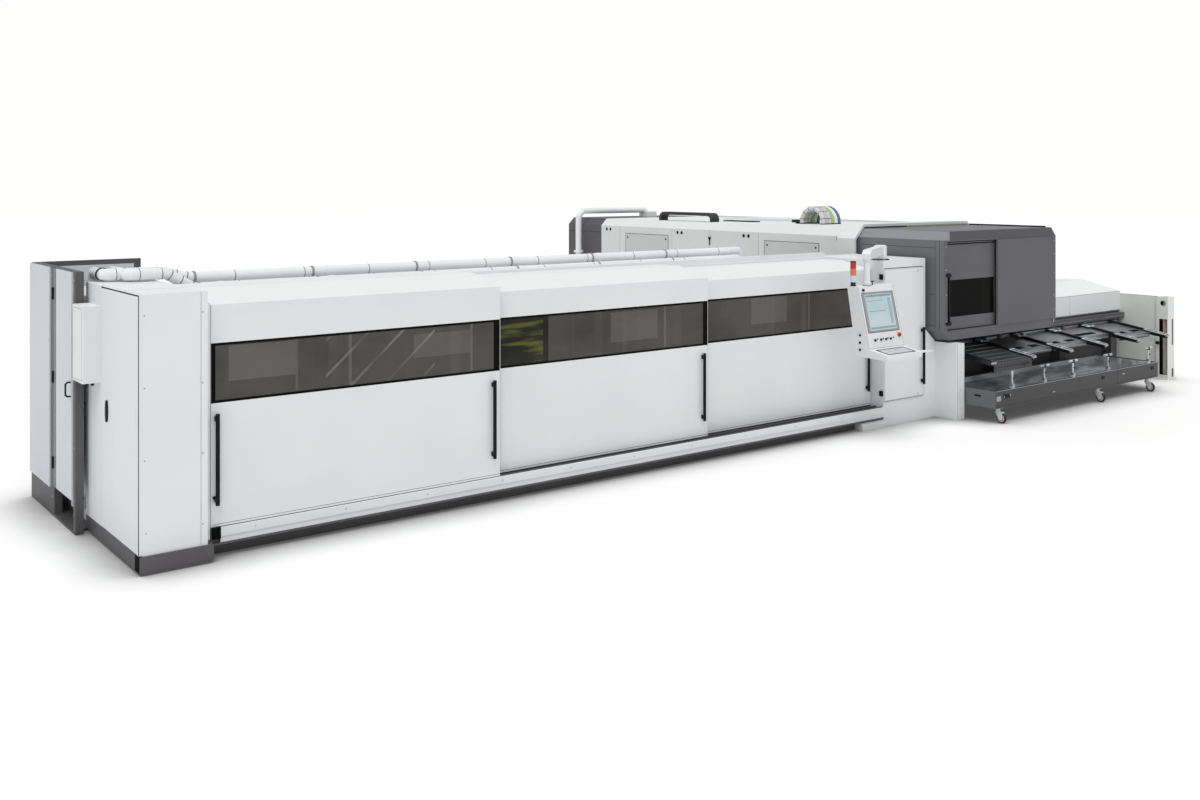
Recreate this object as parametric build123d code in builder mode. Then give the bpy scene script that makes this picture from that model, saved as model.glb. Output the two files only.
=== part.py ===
"""Sheet and tube laser cutting machine, in millimetres, Z up."""
import math
import os

from build123d import *

# Clearances that moving pieces and their seats share
run_gap = 0.3
leaf_gap = 4
overrun = 50

# Left cabinet
cabinet_width = 500
cabinet_front = 20
cabinet_depth = 1430
cabinet_top = 2040
cabinet_wall = 30
cabinet_leaf = 20
cabinet_leaf_width = 980
cabinet_plinth_height = 140
cabinet_plinth_lap = 40
plinth_foot = 20
plinth_foot_side = 90
corner_slot = 35
corner_slot_inset = 10
corner_slot_depth = 25
handle_lens_height = 170
handle_lens_width = 44
handle_lens_out = 14
handle_lens_z = 1075
handle_lens_inset = 170
box_depth = 135
box_width = 306
box_bottom = 1270
box_height = 608
box_gap = 25
box_round = 8

# Bay behind the left cabinet
bay_out = 105
bay_post = 65
bay_front = 1360
bay_front_post = 60
bay_middle = 2050
bay_middle_post = 100
bay_rear = 2890
bay_rear_post = 40
bay_right = 850
bay_height = 2130
bay_rail = 45
bay_floor = 20
bay_channel_web = 12
bay_panel = 15
bay_panel_bottom = 235
bay_panel_top_gap = 5
bay_door_bottom = 270
pull_height = 115
pull_out = 40
pull_rod = 7
pull_inset = 25
pull_z = 1172
filter_left = 60
filter_width = 680
filter_front = 1560
filter_depth = 1180
filter_height = 1880
filter_round = 20
valve_pipe = 22
valve_pipe_out = 85
valve_body = 42
valve_body_length = 40
valve_z = 150
valve_pitch = 120

# Front line: plinth, rail and tracks
line_front = 200
line_back = 1440
plinth_height = 95
track_plate = 12
track_front = 112
track_depth = 308
track_rib = 15
track_rib_inset = 5
track_top = 230
lip_thickness = 4
lip_drop = 3
lip_rise = 3
rail_front = 100
rail_depth = 22
rail_web = 10
rail_bottom = 160
rail_top = 225
rail_start = 130
jamb_width = 55
door_end_gap = 5

# Sliding doors, from the outer one inwards
door_widths = (2610, 2650, 2740)
door_lap = 40
door_face = 125
door_pitch = 85
door_skin = 25
door_creases = (1923, 1866, 1829)
door_ridges = (2017, 1965, 1918)
hood_rise_depth = 450
hood_end = 1040
hood_rest = 30
hood_end_gap = 2
window_bottom = 1172
window_top = 1630
window_stile = 15
window_edge = 4
window_recess = 3
window_thickness = 18
bar_radius = 16
bar_standoff = 38
bar_bottom = 400
bar_length = 695
bar_post_radius = 9
bar_post_inset = 34
bar_inset = 80
bar_left_inset = 40

# Enclosure behind the doors
wall_skin = 30
deck_top = 1900
deck_skin = 30
deck_lip = 40

# Tube feed inside the line
tube_y = 620
tube_z = 1150
bed_width = 390
bed_waist = 320
bed_start = 140
bed_end = 185
bed_top = 700
bed_foot = 85
bed_slope = 80
bed_rail_width = 40
bed_rail_height = 40
bed_rail_inset = 20
carriage_start = 60
carriage_length = 500
carriage_plate = 60
carriage_head = 260
carriage_head_width = 440
carriage_head_top = 1430
carriage_head_round = 60
chuck_radius = 170
chuck_length = 80
spindle_radius = 90
spindle_length = 120
tube_bore = 55
jaw_width = 50
jaw_height = 90
jaw_length = 45
jaw_inner = 60
jaw_count = 4

# Fume ducts on the roof
duct_radius = 48
duct_bend = 36
duct_rise = 200
duct_clear = 60
duct_front_y = 1185
duct_front_z = 1962
duct_rear_y = 1310
duct_rear_z = 2045
duct_front_start = 260
duct_rear_start = 110
duct_rise_y = 1640
duct_cross_end = 560
duct_drop_end = 790
duct_front_end = 7180
duct_rear_end = 7310
duct_sleeve = 4
duct_sleeve_length = 60
duct_saddle = 40
duct_joint_shares = (0.03, 0.19, 0.51, 0.67, 0.83)

# Operator column
column_front = 115
column_width = 790
column_depth = 1065
column_top = 1940
column_foot_right = 195
column_foot_top = 920
column_foot_slope = 160
column_leaf = 15
column_leaf_left = 5
column_leaf_right = 45
column_leaf_bottom = 292
column_leaf_top = 1840
column_room_margin = 50
column_room_depth = 335
tube_way = 300
toe_length = 405
toe_front = 85
toe_height = 82
hinge_height = 62
hinge_depth = 48
hinge_out = 14
hinge_rise = 60
column_bar_bottom = 433
column_bar_length = 684
column_bar_inset = 48
guard_width = 150
guard_front = -200
guard_back = 300
guard_height = 915
guard_fold = 6

# Pendant on its swing arm
arm_pivot_x = 115
arm_pivot_y = 250
arm_hub_radius = 75
arm_hub_height = 165
arm_height = 100
arm_width = 95
arm_slope = 40
arm_reach_x = 850
arm_reach_y = 500
drop_radius = 35
pendant_top = 1712
pendant_boss_radius = 48
pendant_boss = 18
pendant_left_of_drop = 215
pendant_width = 600
pendant_back_of_drop = 100
pendant_top_depth = 150
pendant_lean = 160
pendant_face_height = 672
pendant_back_lean = 130
pendant_shelf_reach = 240
pendant_shelf_drop = 40
pendant_shelf_lip = 55
pendant_bottom_rise = 12
pendant_wing = 200
pendant_wing_depth = 120
pendant_wing_skin = 14
pendant_edge = 6
screen_width_share = 0.86
screen_top_share = 0.11
screen_bottom_share = 0.73
screen_proud = 3
screen_corner = 8
keys_width_share = 0.72
keys_depth_share = 0.62
keys_sink = 5
stop_share = 0.9
stop_down_share = 0.815
stop_cap_radius = 21
stop_cap = 16
stop_stem_radius = 12
stop_stem = 22
stop_travel = 6
stop_stand = 9
tower_radius = 32
tower_base_radius = 28
tower_base = 45
tower_lens = 75
tower_lens_count = 3
tower_groove = 3
tower_inset = 55
tower_back = 40

# Cutting cabin
cabin_gap = 75
cabin_width = 2420
cabin_front = -100
cabin_bottom = 950
cabin_top = 2265
cabin_chamfer = 110
cabin_skin = 40
cabin_rim = 30
cabin_opening_left = 70
cabin_opening_right = 80
cabin_opening_bottom = 1065
cabin_opening_top = 2140
cabin_runner = 15
cabin_runner_depth = 45
cabin_leaf = 30
cabin_leaf_setback = 8
cabin_leaf_width = 1040
cabin_leaf_lap = 15
cabin_leaf_corner = 14
cabin_panel_left = 1090
cabin_panel_skin = 30
cabin_panel_proud = 15
cabin_panel_round = 60
cabin_window_left = 16
cabin_window_right = 12
cabin_window_bottom = 1228
cabin_window_top = 1664
cabin_glass = 12
cabin_bar_bottom = 1128
cabin_bar_length = 632
cabin_bar_x = 50
cabin_bar_standoff = 34
chute_margin = 220
chute_front = 60
chute_back = 1150

# Sheet tunnel behind the cabin
collar_front = 1200
collar_length = 300
collar_margin = 85
collar_top = 2315
collar_chamfer = 180
collar_skin = 34
collar_plate = 30
tunnel_inset = 50
tunnel_top = 2260
tunnel_chamfer = 110
tunnel_skin = 30
tunnel_length = 5170
tunnel_end_length = 915
tunnel_base = 95
tunnel_mouth_bottom = 1000
cover_skin = 6
cover_bottom = 1250
cover_top = 2046
cover_lengths = (1020, 1050)
cover_starts = (415, 3480)
cover_round = 20
vent_radius = 26
vent_depth = 12
vent_pitch = 95
vent_z = 2092
vent_starts = (1750, 3180, 4930)
bed_margin = 240
bed_wall = 60
slat_top = 880
slat_height = 80
slat_skin = 8
slat_count = 22
table_front = 100
table_end = 200
gantry_rail_width = 80
gantry_rail_top = 1760
gantry_rail_height = 60
gantry_rail_front = 200
gantry_rail_end = 100
gantry_width = 240
gantry_height = 200
gantry_end_gap = 5
gantry_flute = 20
head_plate = 120
head_plate_width = 350
head_plate_drop = 30
head_plate_rise = 50
head_x = 1270
head_body = 100
head_body_width = 130
head_body_height = 420
head_body_top = 1960
nozzle_radius = 38
nozzle_height = 150
nozzle_tip_radius = 8
nozzle_tip = 60

# Pipes and hoses on the tunnel
riser_out = 150
riser_from_end = 480
riser_low = 1500
riser_high = 2380
riser_run = 1520
riser_radius = 48
riser_bend = 90
riser_flange = 80
riser_flange_skin = 30
riser_flange_z = 1690
riser_box = 220
riser_box_height = 90
loop_x = 780
loop_y = 1240
loop_radius = 200
loop_stem = 25
loop_hose = 32
loop_pitch = 66
loop_count = 6
loop_steps = 12
chain_x = 200
chain_width = 150
chain_start = 2720
chain_length = 1220
chain_height = 135
chain_skin = 45
chain_bend = 100

# Unloading side
cover_front = 450
cover_rise = 955
cover_crease = 1235
cover_crest = 1400
cover_slope_depth = 330
cover_depth = 650
cover_end_slope = 420
cover_end_drop = 165
cover_end_round = 60
side_end = 2650
bearer_front = 480
bearer_depth = 220
bearer_bottom = 700
bearer_leg = 160
apron_skin = 12
bearer_leg_shares = (0.05, 0.36, 0.68, 0.96)
ledge_front = 380
ledge_height = 110
ledge_drop = 60
shaft_y = 420
shaft_z = 800
shaft_radius = 30
shaft_start = 260
shaft_end = 110
bracket_skin = 40
bracket_shares = (0.04, 0.35, 0.66, 0.965)
bracket_eye = 55
arm_length = 890
arm_root = 55
arm_tip = 50
arm_fall = 100
arm_skin = 46
arm_rise = 26
arm_shares = (0.015, 0.2, 0.385, 0.57, 0.755, 0.93)
tray_skin = 8
tray_front_gaps = (12, 260, 260, 420, 240)
tray_root_gap = 60
tray_edges = (112, 60, 60, 60, 60)
tray_toe = 70
wall_plate = 30
wall_bottom = 560
wall_top = 1190
post_width = 190
post_depth = 170
post_side_front = -290
post_wall = 8
post_slot_width = 116
post_slot_bottom = 60
post_slot_top = 870
post_slot_shift = 14
post_eye_radius = 40
post_eye_z = 1100
post_side_slot = 40
post_side_slot_share = 0.72
post_side_slot_bottom = 490
post_side_slot_top = 870
post_foot_margin = 40
post_foot = 12
post_rod_radius = 36
post_rod_inset = 70
post_knob_radius = 24
post_knob = 30
post_knob_z = 520

# Parts trolley on casters
trolley_gap = 10
trolley_length = 3820
trolley_front = -620
trolley_depth = 900
trolley_bottom = 180
trolley_height = 205
trolley_skin = 12
trolley_flange = 30
trolley_ramp = 260
trolley_ramp_rise = 120
clamp_radius = 12
clamp_height = 205
roller_radius = 15
roller_length = 190
roller_shares = (0.28, 0.45, 0.67, 0.945)
clamp_foot = 60
clamp_foot_depth = 34
clamp_foot_height = 24
clamp_shares = (0.1, 0.28, 0.45, 0.67, 0.945)
caster_shares = (0.03, 0.61, 0.945)
caster_inset = 45
caster_trail = 50
wheel_radius = 60
wheel_width = 32
wheel_crown = 6
axle_radius = 8
fork_skin = 5
fork_gap = 3
fork_hub_radius = 26
fork_bridge = 10
fork_arm_width = 40


def mid(ends):
    """Return the middle of a pair of ends."""
    return (ends[0] + ends[1]) / 2


def slab(x, y, z, mode=Mode.ADD):
    """Add a block between two ends on each axis."""
    with Locations((mid(x), mid(y), mid(z))):
        Box(x[1] - x[0], y[1] - y[0], z[1] - z[0], mode=mode)


def along_x(points, x, mode=Mode.ADD):
    """Draw a section of Y and Z points out along X."""
    with BuildSketch(Plane.YZ.offset(x[0])) as section:
        Polygon(*points, align=None)
    extrude(section.sketch, amount=x[1] - x[0], dir=(1, 0, 0), mode=mode)


def along_y(points, y, mode=Mode.ADD):
    """Draw a section of X and Z points out along Y."""
    with BuildSketch(Plane.XZ.offset(-y[0])) as section:
        Polygon(*points, align=None)
    extrude(section.sketch, amount=y[1] - y[0], dir=(0, 1, 0), mode=mode)


def along_z(points, z, mode=Mode.ADD):
    """Draw a plan of X and Y points up along Z."""
    with BuildSketch(Plane.XY.offset(z[0])) as section:
        Polygon(*points, align=None)
    extrude(section.sketch, amount=z[1] - z[0], dir=(0, 0, 1), mode=mode)


def rod(start, way, radius, length, mode=Mode.ADD):
    """Add a round bar from a point along a way."""
    with BuildSketch(Plane(origin=start, z_dir=way)) as section:
        Circle(radius)
    extrude(section.sketch, amount=length, dir=way, mode=mode)


def bar_handle(x, face, bottom, length, standoff):
    """Add an upright bar handle on two round posts."""
    bar_y = face - standoff
    rod((x, bar_y, bottom), (0, 0, 1), bar_radius, length)
    for post_z in (bottom + bar_post_inset, bottom + length - bar_post_inset):
        rod((x, face, post_z), (0, -1, 0), bar_post_radius, standoff - bar_radius / 2)


def arch(left, right, bottom, top, corner):
    """Return an upright outline with both top corners cut off."""
    return [
        (left, bottom),
        (right, bottom),
        (right, top - corner),
        (right - corner, top),
        (left + corner, top),
        (left, top - corner),
    ]


def inner_corner(corner, skin):
    """Return the cut corner that keeps a wall's thickness even."""
    return corner - skin * math.tan(math.pi / 8) * math.sqrt(2)


def octagon(left, right, bottom, top, corner):
    """Return an outline with all four corners cut off."""
    return [
        (left + corner, bottom),
        (right - corner, bottom),
        (right, bottom + corner),
        (right, top - corner),
        (right - corner, top),
        (left + corner, top),
        (left, top - corner),
        (left, bottom + corner),
    ]


def pipe(points, bend, radius):
    """Sweep a round pipe along a path whose corners are cut into mitres."""
    way_points = [Vector(points[0])]
    for before, corner, after in zip(points, points[1:], points[2:]):
        here = Vector(corner)
        to_before = Vector(before) - here
        to_after = Vector(after) - here
        cut = bend / math.tan(math.radians(to_before.get_angle(to_after)) / 2)
        way_points.append(here + to_before.normalized() * cut)
        way_points.append(here + to_after.normalized() * cut)
    way_points.append(Vector(points[-1]))
    with BuildLine() as way:
        Polyline(*way_points)
    with BuildSketch(Plane(origin=way.line @ 0, z_dir=way.line % 0)) as section:
        Circle(radius)
    sweep(section.sketch, path=way.line, transition=Transition.RIGHT)


# Places along the line that several pieces share
door_start = cabinet_width + jamb_width + door_end_gap
door_lefts = [door_start]
for width in door_widths[:-1]:
    door_lefts.append(door_lefts[-1] + width - door_lap)
door_rights = [left + width for left, width in zip(door_lefts, door_widths)]
door_faces = [door_face + door_pitch * step for step in range(len(door_widths))]
hood_ends = [hood_end]
for step in range(len(door_widths) - 1):
    hood_ends.append(hood_ends[-1] - hood_rest - hood_end_gap)
column_left = door_rights[-1] + door_end_gap
column_right = column_left + column_width
column_foot_end = column_right + column_foot_right
column_back = column_front + column_depth
cabin_left = column_right + cabin_gap
cabin_right = cabin_left + cabin_width
collar_back = collar_front + collar_length
tunnel_left = cabin_left + tunnel_inset
tunnel_right = cabin_right - tunnel_inset
tunnel_back = collar_back + tunnel_length
machine_back = tunnel_back + tunnel_end_length
cabinet_back = cabinet_front + cabinet_depth
side_right = cabin_right + side_end
plinth_end = cabinet_width + cabinet_plinth_lap
guard_right = column_foot_end + guard_width
trolley_left = guard_right + trolley_gap
trolley_right = trolley_left + trolley_length
pieces = {}

# Welded plinth under the cabinet and the door line
with BuildPart() as base_plinth:
    slab((plinth_end, column_left), (line_front, line_back), (0, plinth_height))
    slab((0, plinth_end), (0, cabinet_back), (plinth_foot, cabinet_plinth_height))
    slab(
        (-overrun, corner_slot_depth),
        (corner_slot_inset, corner_slot_inset + corner_slot),
        (plinth_foot - overrun, cabinet_plinth_height + overrun),
        Mode.SUBTRACT,
    )
    for foot_x in (corner_slot, cabinet_width - plinth_foot_side):
        for foot_y in (corner_slot * 2, cabinet_back - plinth_foot_side):
            slab(
                (foot_x, foot_x + plinth_foot_side),
                (foot_y, foot_y + plinth_foot_side),
                (0, plinth_foot),
            )
pieces["base_plinth"] = base_plinth

# Dark track plate with one upright rib under each door
with BuildPart() as door_tracks:
    track_back = track_front + track_depth
    plate_top = plinth_height + track_plate
    slab((door_start, column_left), (track_front, track_back), (plinth_height, plate_top))
    slab(
        (door_start, column_left),
        (track_front - lip_thickness, track_front),
        (plinth_height - lip_drop, plate_top + lip_rise),
    )
    for face in door_faces:
        rib_front = face + track_rib_inset
        slab((door_start, column_left), (rib_front, rib_front + track_rib), (plate_top, track_top))
pieces["door_tracks"] = door_tracks

# Pale rail that screens the tracks from the front
with BuildPart() as front_rail:
    rail_back = rail_front + rail_depth
    rail_section = [
        (rail_front, rail_top),
        (rail_back, rail_top),
        (rail_back, plate_top),
        (rail_back - rail_web, plate_top),
        (rail_back - rail_web, rail_bottom),
        (rail_front, rail_bottom),
    ]
    along_x(rail_section, (cabinet_width + rail_start, column_left))
pieces["front_rail"] = front_rail


def hood_outline(step):
    """Return a door's section: an upright leaf that folds over into a hood."""
    face = door_faces[step]
    crease = door_creases[step]
    ridge = door_ridges[step]
    crest = face + hood_rise_depth
    inner_crease = crease - door_skin + door_skin * (ridge - crease) / hood_rise_depth
    return [
        (face, track_top + run_gap),
        (face, crease),
        (crest, ridge),
        (hood_ends[step], ridge),
        (hood_ends[step], ridge - door_skin),
        (crest, ridge - door_skin),
        (face + door_skin, inner_crease),
        (face + door_skin, track_top + run_gap),
    ]


# Three telescoping doors, each with its own hood
with BuildPart() as front_door_1:
    along_x(hood_outline(0), (door_lefts[0], door_rights[0]))
    slab(
        (door_lefts[0] + window_stile, door_rights[0] - window_edge),
        (door_faces[0] - overrun, door_faces[0] + door_skin + overrun),
        (window_bottom, window_top),
        Mode.SUBTRACT,
    )
pieces["front_door_1"] = front_door_1

with BuildPart() as front_door_2:
    along_x(hood_outline(1), (door_lefts[1], door_rights[1]))
    slab(
        (door_lefts[1] + window_stile, door_rights[1] - window_edge),
        (door_faces[1] - overrun, door_faces[1] + door_skin + overrun),
        (window_bottom, window_top),
        Mode.SUBTRACT,
    )
pieces["front_door_2"] = front_door_2

with BuildPart() as front_door_3:
    along_x(hood_outline(2), (door_lefts[2], door_rights[2]))
    slab(
        (door_lefts[2] + window_stile, door_rights[2] - window_edge),
        (door_faces[2] - overrun, door_faces[2] + door_skin + overrun),
        (window_bottom, window_top),
        Mode.SUBTRACT,
    )
pieces["front_door_3"] = front_door_3


def window_pane(step):
    """Add the framed pane that fills a door's window."""
    pane_front = door_faces[step] + window_recess
    slab(
        (door_lefts[step] + window_stile, door_rights[step] - window_edge),
        (pane_front, pane_front + window_thickness),
        (window_bottom, window_top),
    )


with BuildPart() as door_window_1:
    window_pane(0)
pieces["door_window_1"] = door_window_1

with BuildPart() as door_window_2:
    window_pane(1)
pieces["door_window_2"] = door_window_2

with BuildPart() as door_window_3:
    window_pane(2)
pieces["door_window_3"] = door_window_3

# Black bar handles, two on the first door and one on each other
with BuildPart() as door_handle_1:
    bar_handle(door_lefts[0] + bar_left_inset, door_faces[0], bar_bottom, bar_length, bar_standoff)
    bar_handle(door_rights[0] - bar_inset, door_faces[0], bar_bottom, bar_length, bar_standoff)
pieces["door_handle_1"] = door_handle_1

with BuildPart() as door_handle_2:
    bar_handle(door_rights[1] - bar_inset, door_faces[1], bar_bottom, bar_length, bar_standoff)
pieces["door_handle_2"] = door_handle_2

with BuildPart() as door_handle_3:
    bar_handle(door_rights[2] - bar_inset, door_faces[2], bar_bottom, bar_length, bar_standoff)
pieces["door_handle_3"] = door_handle_3

# Rear wall, left jamb and roof deck with a stepped rest for the hoods
with BuildPart() as enclosure_frame:
    rests = [ridge - door_skin - run_gap for ridge in door_ridges]
    starts = [end - hood_rest for end in hood_ends]
    deck_under = deck_top - deck_skin
    deck_step = hood_end + deck_lip
    deck_section = [
        (starts[2], deck_under),
        (starts[2], rests[2]),
        (starts[1], rests[2]),
        (starts[1], rests[1]),
        (starts[0], rests[1]),
        (starts[0], rests[0]),
        (deck_step, rests[0]),
        (deck_step, deck_top),
        (line_back, deck_top),
        (line_back, deck_under),
    ]
    along_x(deck_section, (cabinet_width, column_left))
    slab(
        (cabinet_width, column_left),
        (line_back - wall_skin, line_back),
        (cabinet_plinth_height, deck_under),
    )
    slab(
        (plinth_end, column_left),
        (line_back - wall_skin, line_back),
        (plinth_height, cabinet_plinth_height),
    )
    jamb_section = [
        (door_face, cabinet_plinth_height),
        (door_face, door_creases[0]),
        (door_face + hood_rise_depth, door_ridges[0]),
        (hood_end, door_ridges[0]),
        (deck_step, rests[0]),
        (line_back, deck_top),
        (line_back, cabinet_plinth_height),
    ]
    along_x(jamb_section, (cabinet_width, cabinet_width + jamb_width))
pieces["enclosure_frame"] = enclosure_frame

# Feed bed with two guide rails drawn from one section
bed_left = door_start + bed_start
with BuildPart() as feed_bed:
    half_foot = bed_width / 2
    half_waist = bed_waist / 2
    rail_out = half_waist - bed_rail_inset
    rail_in = rail_out - bed_rail_width
    bed_rail_top = bed_top + bed_rail_height
    bed_shoulder = plinth_height + bed_foot
    bed_half = [
        (half_foot, plinth_height),
        (half_foot, bed_shoulder),
        (half_waist, bed_shoulder + bed_slope),
        (half_waist, bed_top),
        (rail_out, bed_top),
        (rail_out, bed_rail_top),
        (rail_in, bed_rail_top),
        (rail_in, bed_top),
    ]
    bed_section = [(tube_y + side, height) for side, height in bed_half]
    bed_section += [(tube_y - side, height) for side, height in reversed(bed_half)]
    along_x(bed_section, (bed_left, column_left - bed_end))
pieces["feed_bed"] = feed_bed

# Carriage that pushes the tube, with the spindle bore
carriage_left = bed_left + carriage_start
head_left = carriage_left + carriage_length - carriage_head
with BuildPart() as chuck_carriage:
    carriage_low = bed_rail_top + run_gap
    carriage_deck = carriage_low + carriage_plate
    slab(
        (carriage_left, carriage_left + carriage_length),
        (tube_y - half_waist, tube_y + half_waist),
        (carriage_low, carriage_deck),
    )
    with BuildSketch(Plane.YZ.offset(head_left)):
        with Locations((tube_y, (carriage_deck + carriage_head_top) / 2)):
            RectangleRounded(
                carriage_head_width, carriage_head_top - carriage_deck, carriage_head_round
            )
    extrude(amount=carriage_head)
    rod(
        (head_left - overrun, tube_y, tube_z),
        (1, 0, 0),
        spindle_radius + run_gap,
        carriage_head + overrun * 2,
        Mode.SUBTRACT,
    )
pieces["chuck_carriage"] = chuck_carriage

# Four-jaw chuck on its spindle
with BuildPart() as tube_chuck:
    chuck_back = carriage_left + carriage_length + run_gap
    rod((chuck_back - spindle_length, tube_y, tube_z), (1, 0, 0), spindle_radius, spindle_length)
    rod((chuck_back, tube_y, tube_z), (1, 0, 0), chuck_radius, chuck_length)
    with Locations(Plane(origin=(chuck_back + chuck_length, tube_y, tube_z), z_dir=(1, 0, 0))):
        with PolarLocations(jaw_inner + jaw_height / 2, jaw_count):
            Box(
                jaw_height,
                jaw_width,
                jaw_length,
                align=(Align.CENTER, Align.CENTER, Align.MIN),
            )
    rod(
        (chuck_back - spindle_length - overrun, tube_y, tube_z),
        (1, 0, 0),
        tube_bore,
        spindle_length + chuck_length + overrun * 2,
        Mode.SUBTRACT,
    )
pieces["tube_chuck"] = tube_chuck

# Cabinet carcass, open on the side that the hinged leaf closes
leaf_end = cabinet_front + leaf_gap + cabinet_leaf_width
with BuildPart() as cabinet_body:
    carcass_plan = [
        (cabinet_leaf, cabinet_front),
        (cabinet_width, cabinet_front),
        (cabinet_width, cabinet_back),
        (0, cabinet_back),
        (0, leaf_end + leaf_gap),
        (cabinet_leaf, leaf_end + leaf_gap),
    ]
    along_z(carcass_plan, (cabinet_plinth_height, cabinet_top))
    slab(
        (cabinet_leaf - overrun, cabinet_width - cabinet_wall),
        (cabinet_front + cabinet_wall, leaf_end - cabinet_wall),
        (cabinet_plinth_height + cabinet_wall, cabinet_top - cabinet_wall),
        Mode.SUBTRACT,
    )
pieces["cabinet_body"] = cabinet_body

with BuildPart() as cabinet_door:
    slab(
        (0, cabinet_leaf - run_gap),
        (cabinet_front + leaf_gap, leaf_end),
        (cabinet_plinth_height + leaf_gap, cabinet_top - leaf_gap),
    )
pieces["cabinet_door"] = cabinet_door

# Lens-shaped lift handle on the cabinet leaf
with BuildPart() as cabinet_handle:
    with BuildSketch(Plane.YZ.offset(-run_gap)):
        with Locations((leaf_end - handle_lens_inset, handle_lens_z)):
            Ellipse(handle_lens_width / 2, handle_lens_height / 2)
    extrude(amount=-handle_lens_out)
pieces["cabinet_handle"] = cabinet_handle

with BuildPart() as junction_box:
    slab(
        (-box_depth, 0),
        (leaf_end + box_gap, leaf_end + box_gap + box_width),
        (box_bottom, box_bottom + box_height),
    )
    fillet(junction_box.edges().filter_by(Axis.Z).group_by(Axis.X)[0], box_round)
pieces["junction_box"] = junction_box

# Posts, floor plate, sills and top rails of the bay
post_in = bay_post - bay_out
with BuildPart() as bay_frame:
    bay_starts = (bay_front, bay_middle, bay_rear - bay_rear_post)
    bay_widths = (bay_front_post, bay_middle_post, bay_rear_post)
    for start, width in zip(bay_starts, bay_widths):
        channel = [
            (-bay_out, start),
            (post_in, start),
            (post_in, start + bay_channel_web),
            (-bay_out + bay_channel_web, start + bay_channel_web),
            (-bay_out + bay_channel_web, start + width - bay_channel_web),
            (post_in, start + width - bay_channel_web),
            (post_in, start + width),
            (-bay_out, start + width),
        ]
        along_z(channel, (0, bay_height))
    slab((bay_right - bay_post, bay_right), (bay_rear - bay_rear_post, bay_rear), (0, bay_height))
    slab((-bay_out, bay_right), (cabinet_back, bay_rear), (0, bay_floor))
    slab((-bay_out, post_in), (bay_front, cabinet_back), (0, bay_floor))
    slab((-bay_out, bay_right), (bay_rear - bay_rear_post, bay_rear), (bay_height - bay_rail, bay_height))
    slab((-bay_out, post_in), (bay_front, bay_rear), (bay_height - bay_rail, bay_height))
    slab(
        (-bay_out, bay_channel_web - bay_out),
        (bay_middle, bay_rear),
        (bay_floor, bay_panel_bottom),
    )
pieces["bay_frame"] = bay_frame

with BuildPart() as bay_panels:
    slab(
        (-bay_out - bay_panel, -bay_out),
        (bay_middle + bay_middle_post + leaf_gap, bay_rear),
        (bay_panel_bottom, bay_height - bay_panel_top_gap),
    )
    slab(
        (post_in, bay_right - bay_post),
        (bay_rear - bay_rear_post, bay_rear - bay_rear_post + bay_panel),
        (bay_floor, bay_height - bay_rail),
    )
pieces["bay_panels"] = bay_panels

bay_leaf_start = bay_front + bay_front_post + leaf_gap
with BuildPart() as bay_door:
    slab(
        (-bay_out - bay_panel, -bay_out - run_gap),
        (bay_leaf_start, bay_middle),
        (bay_door_bottom, bay_height - bay_panel_top_gap),
    )
pieces["bay_door"] = bay_door

with BuildPart() as bay_handle:
    pull_x = -bay_out - bay_panel
    pull_y = bay_leaf_start + pull_inset
    pull_low = pull_z - pull_height / 2
    pull_points = [
        (pull_x, pull_y, pull_low),
        (pull_x - pull_out, pull_y, pull_low),
        (pull_x - pull_out, pull_y, pull_low + pull_height),
        (pull_x, pull_y, pull_low + pull_height),
    ]
    pipe(pull_points, pull_rod * 2, pull_rod)
pieces["bay_handle"] = bay_handle

# Filter cabinet in the bay, with two valve pipes low on its side
with BuildPart() as filter_unit:
    slab(
        (filter_left, filter_left + filter_width),
        (filter_front, filter_front + filter_depth),
        (bay_floor, bay_floor + filter_height),
    )
    fillet(filter_unit.edges().filter_by(Axis.Z), filter_round)
    for turn in range(2):
        pipe_y = filter_front + valve_pitch * (turn + 1)
        rod((filter_left, pipe_y, valve_z), (-1, 0, 0), valve_pipe, valve_pipe_out)
        rod(
            (filter_left - valve_pipe_out / 2, pipe_y, valve_z - valve_body / 2),
            (0, 0, 1),
            valve_body,
            valve_body_length + valve_body,
        )
pieces["filter_unit"] = filter_unit

# Two fume ducts over the cabinet and along the roof deck
with BuildPart() as fume_ducts:
    duct_floor = bay_floor + filter_height
    duct_over = max(duct_floor + duct_rise, cabinet_top + duct_clear)
    for start, y, z, end in (
        (duct_front_start, duct_front_y, duct_front_z, duct_front_end),
        (duct_rear_start, duct_rear_y, duct_rear_z, duct_rear_end),
    ):
        duct_points = [
            (start, duct_rise_y, duct_floor),
            (start, duct_rise_y, duct_over),
            (start, y, duct_over),
            (duct_cross_end, y, duct_over),
            (duct_drop_end, y, z),
            (end, y, z),
            (end, y, deck_top),
        ]
        pipe(duct_points, duct_bend, duct_radius)
        for share in duct_joint_shares:
            joint_x = duct_drop_end + (end - duct_drop_end) * share
            rod((joint_x, y, z), (1, 0, 0), duct_radius + duct_sleeve, duct_sleeve_length)
            slab(
                (joint_x, joint_x + duct_saddle),
                (y - duct_saddle / 2, y + duct_saddle / 2),
                (deck_top, z),
            )
pieces["fume_ducts"] = fume_ducts

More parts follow.
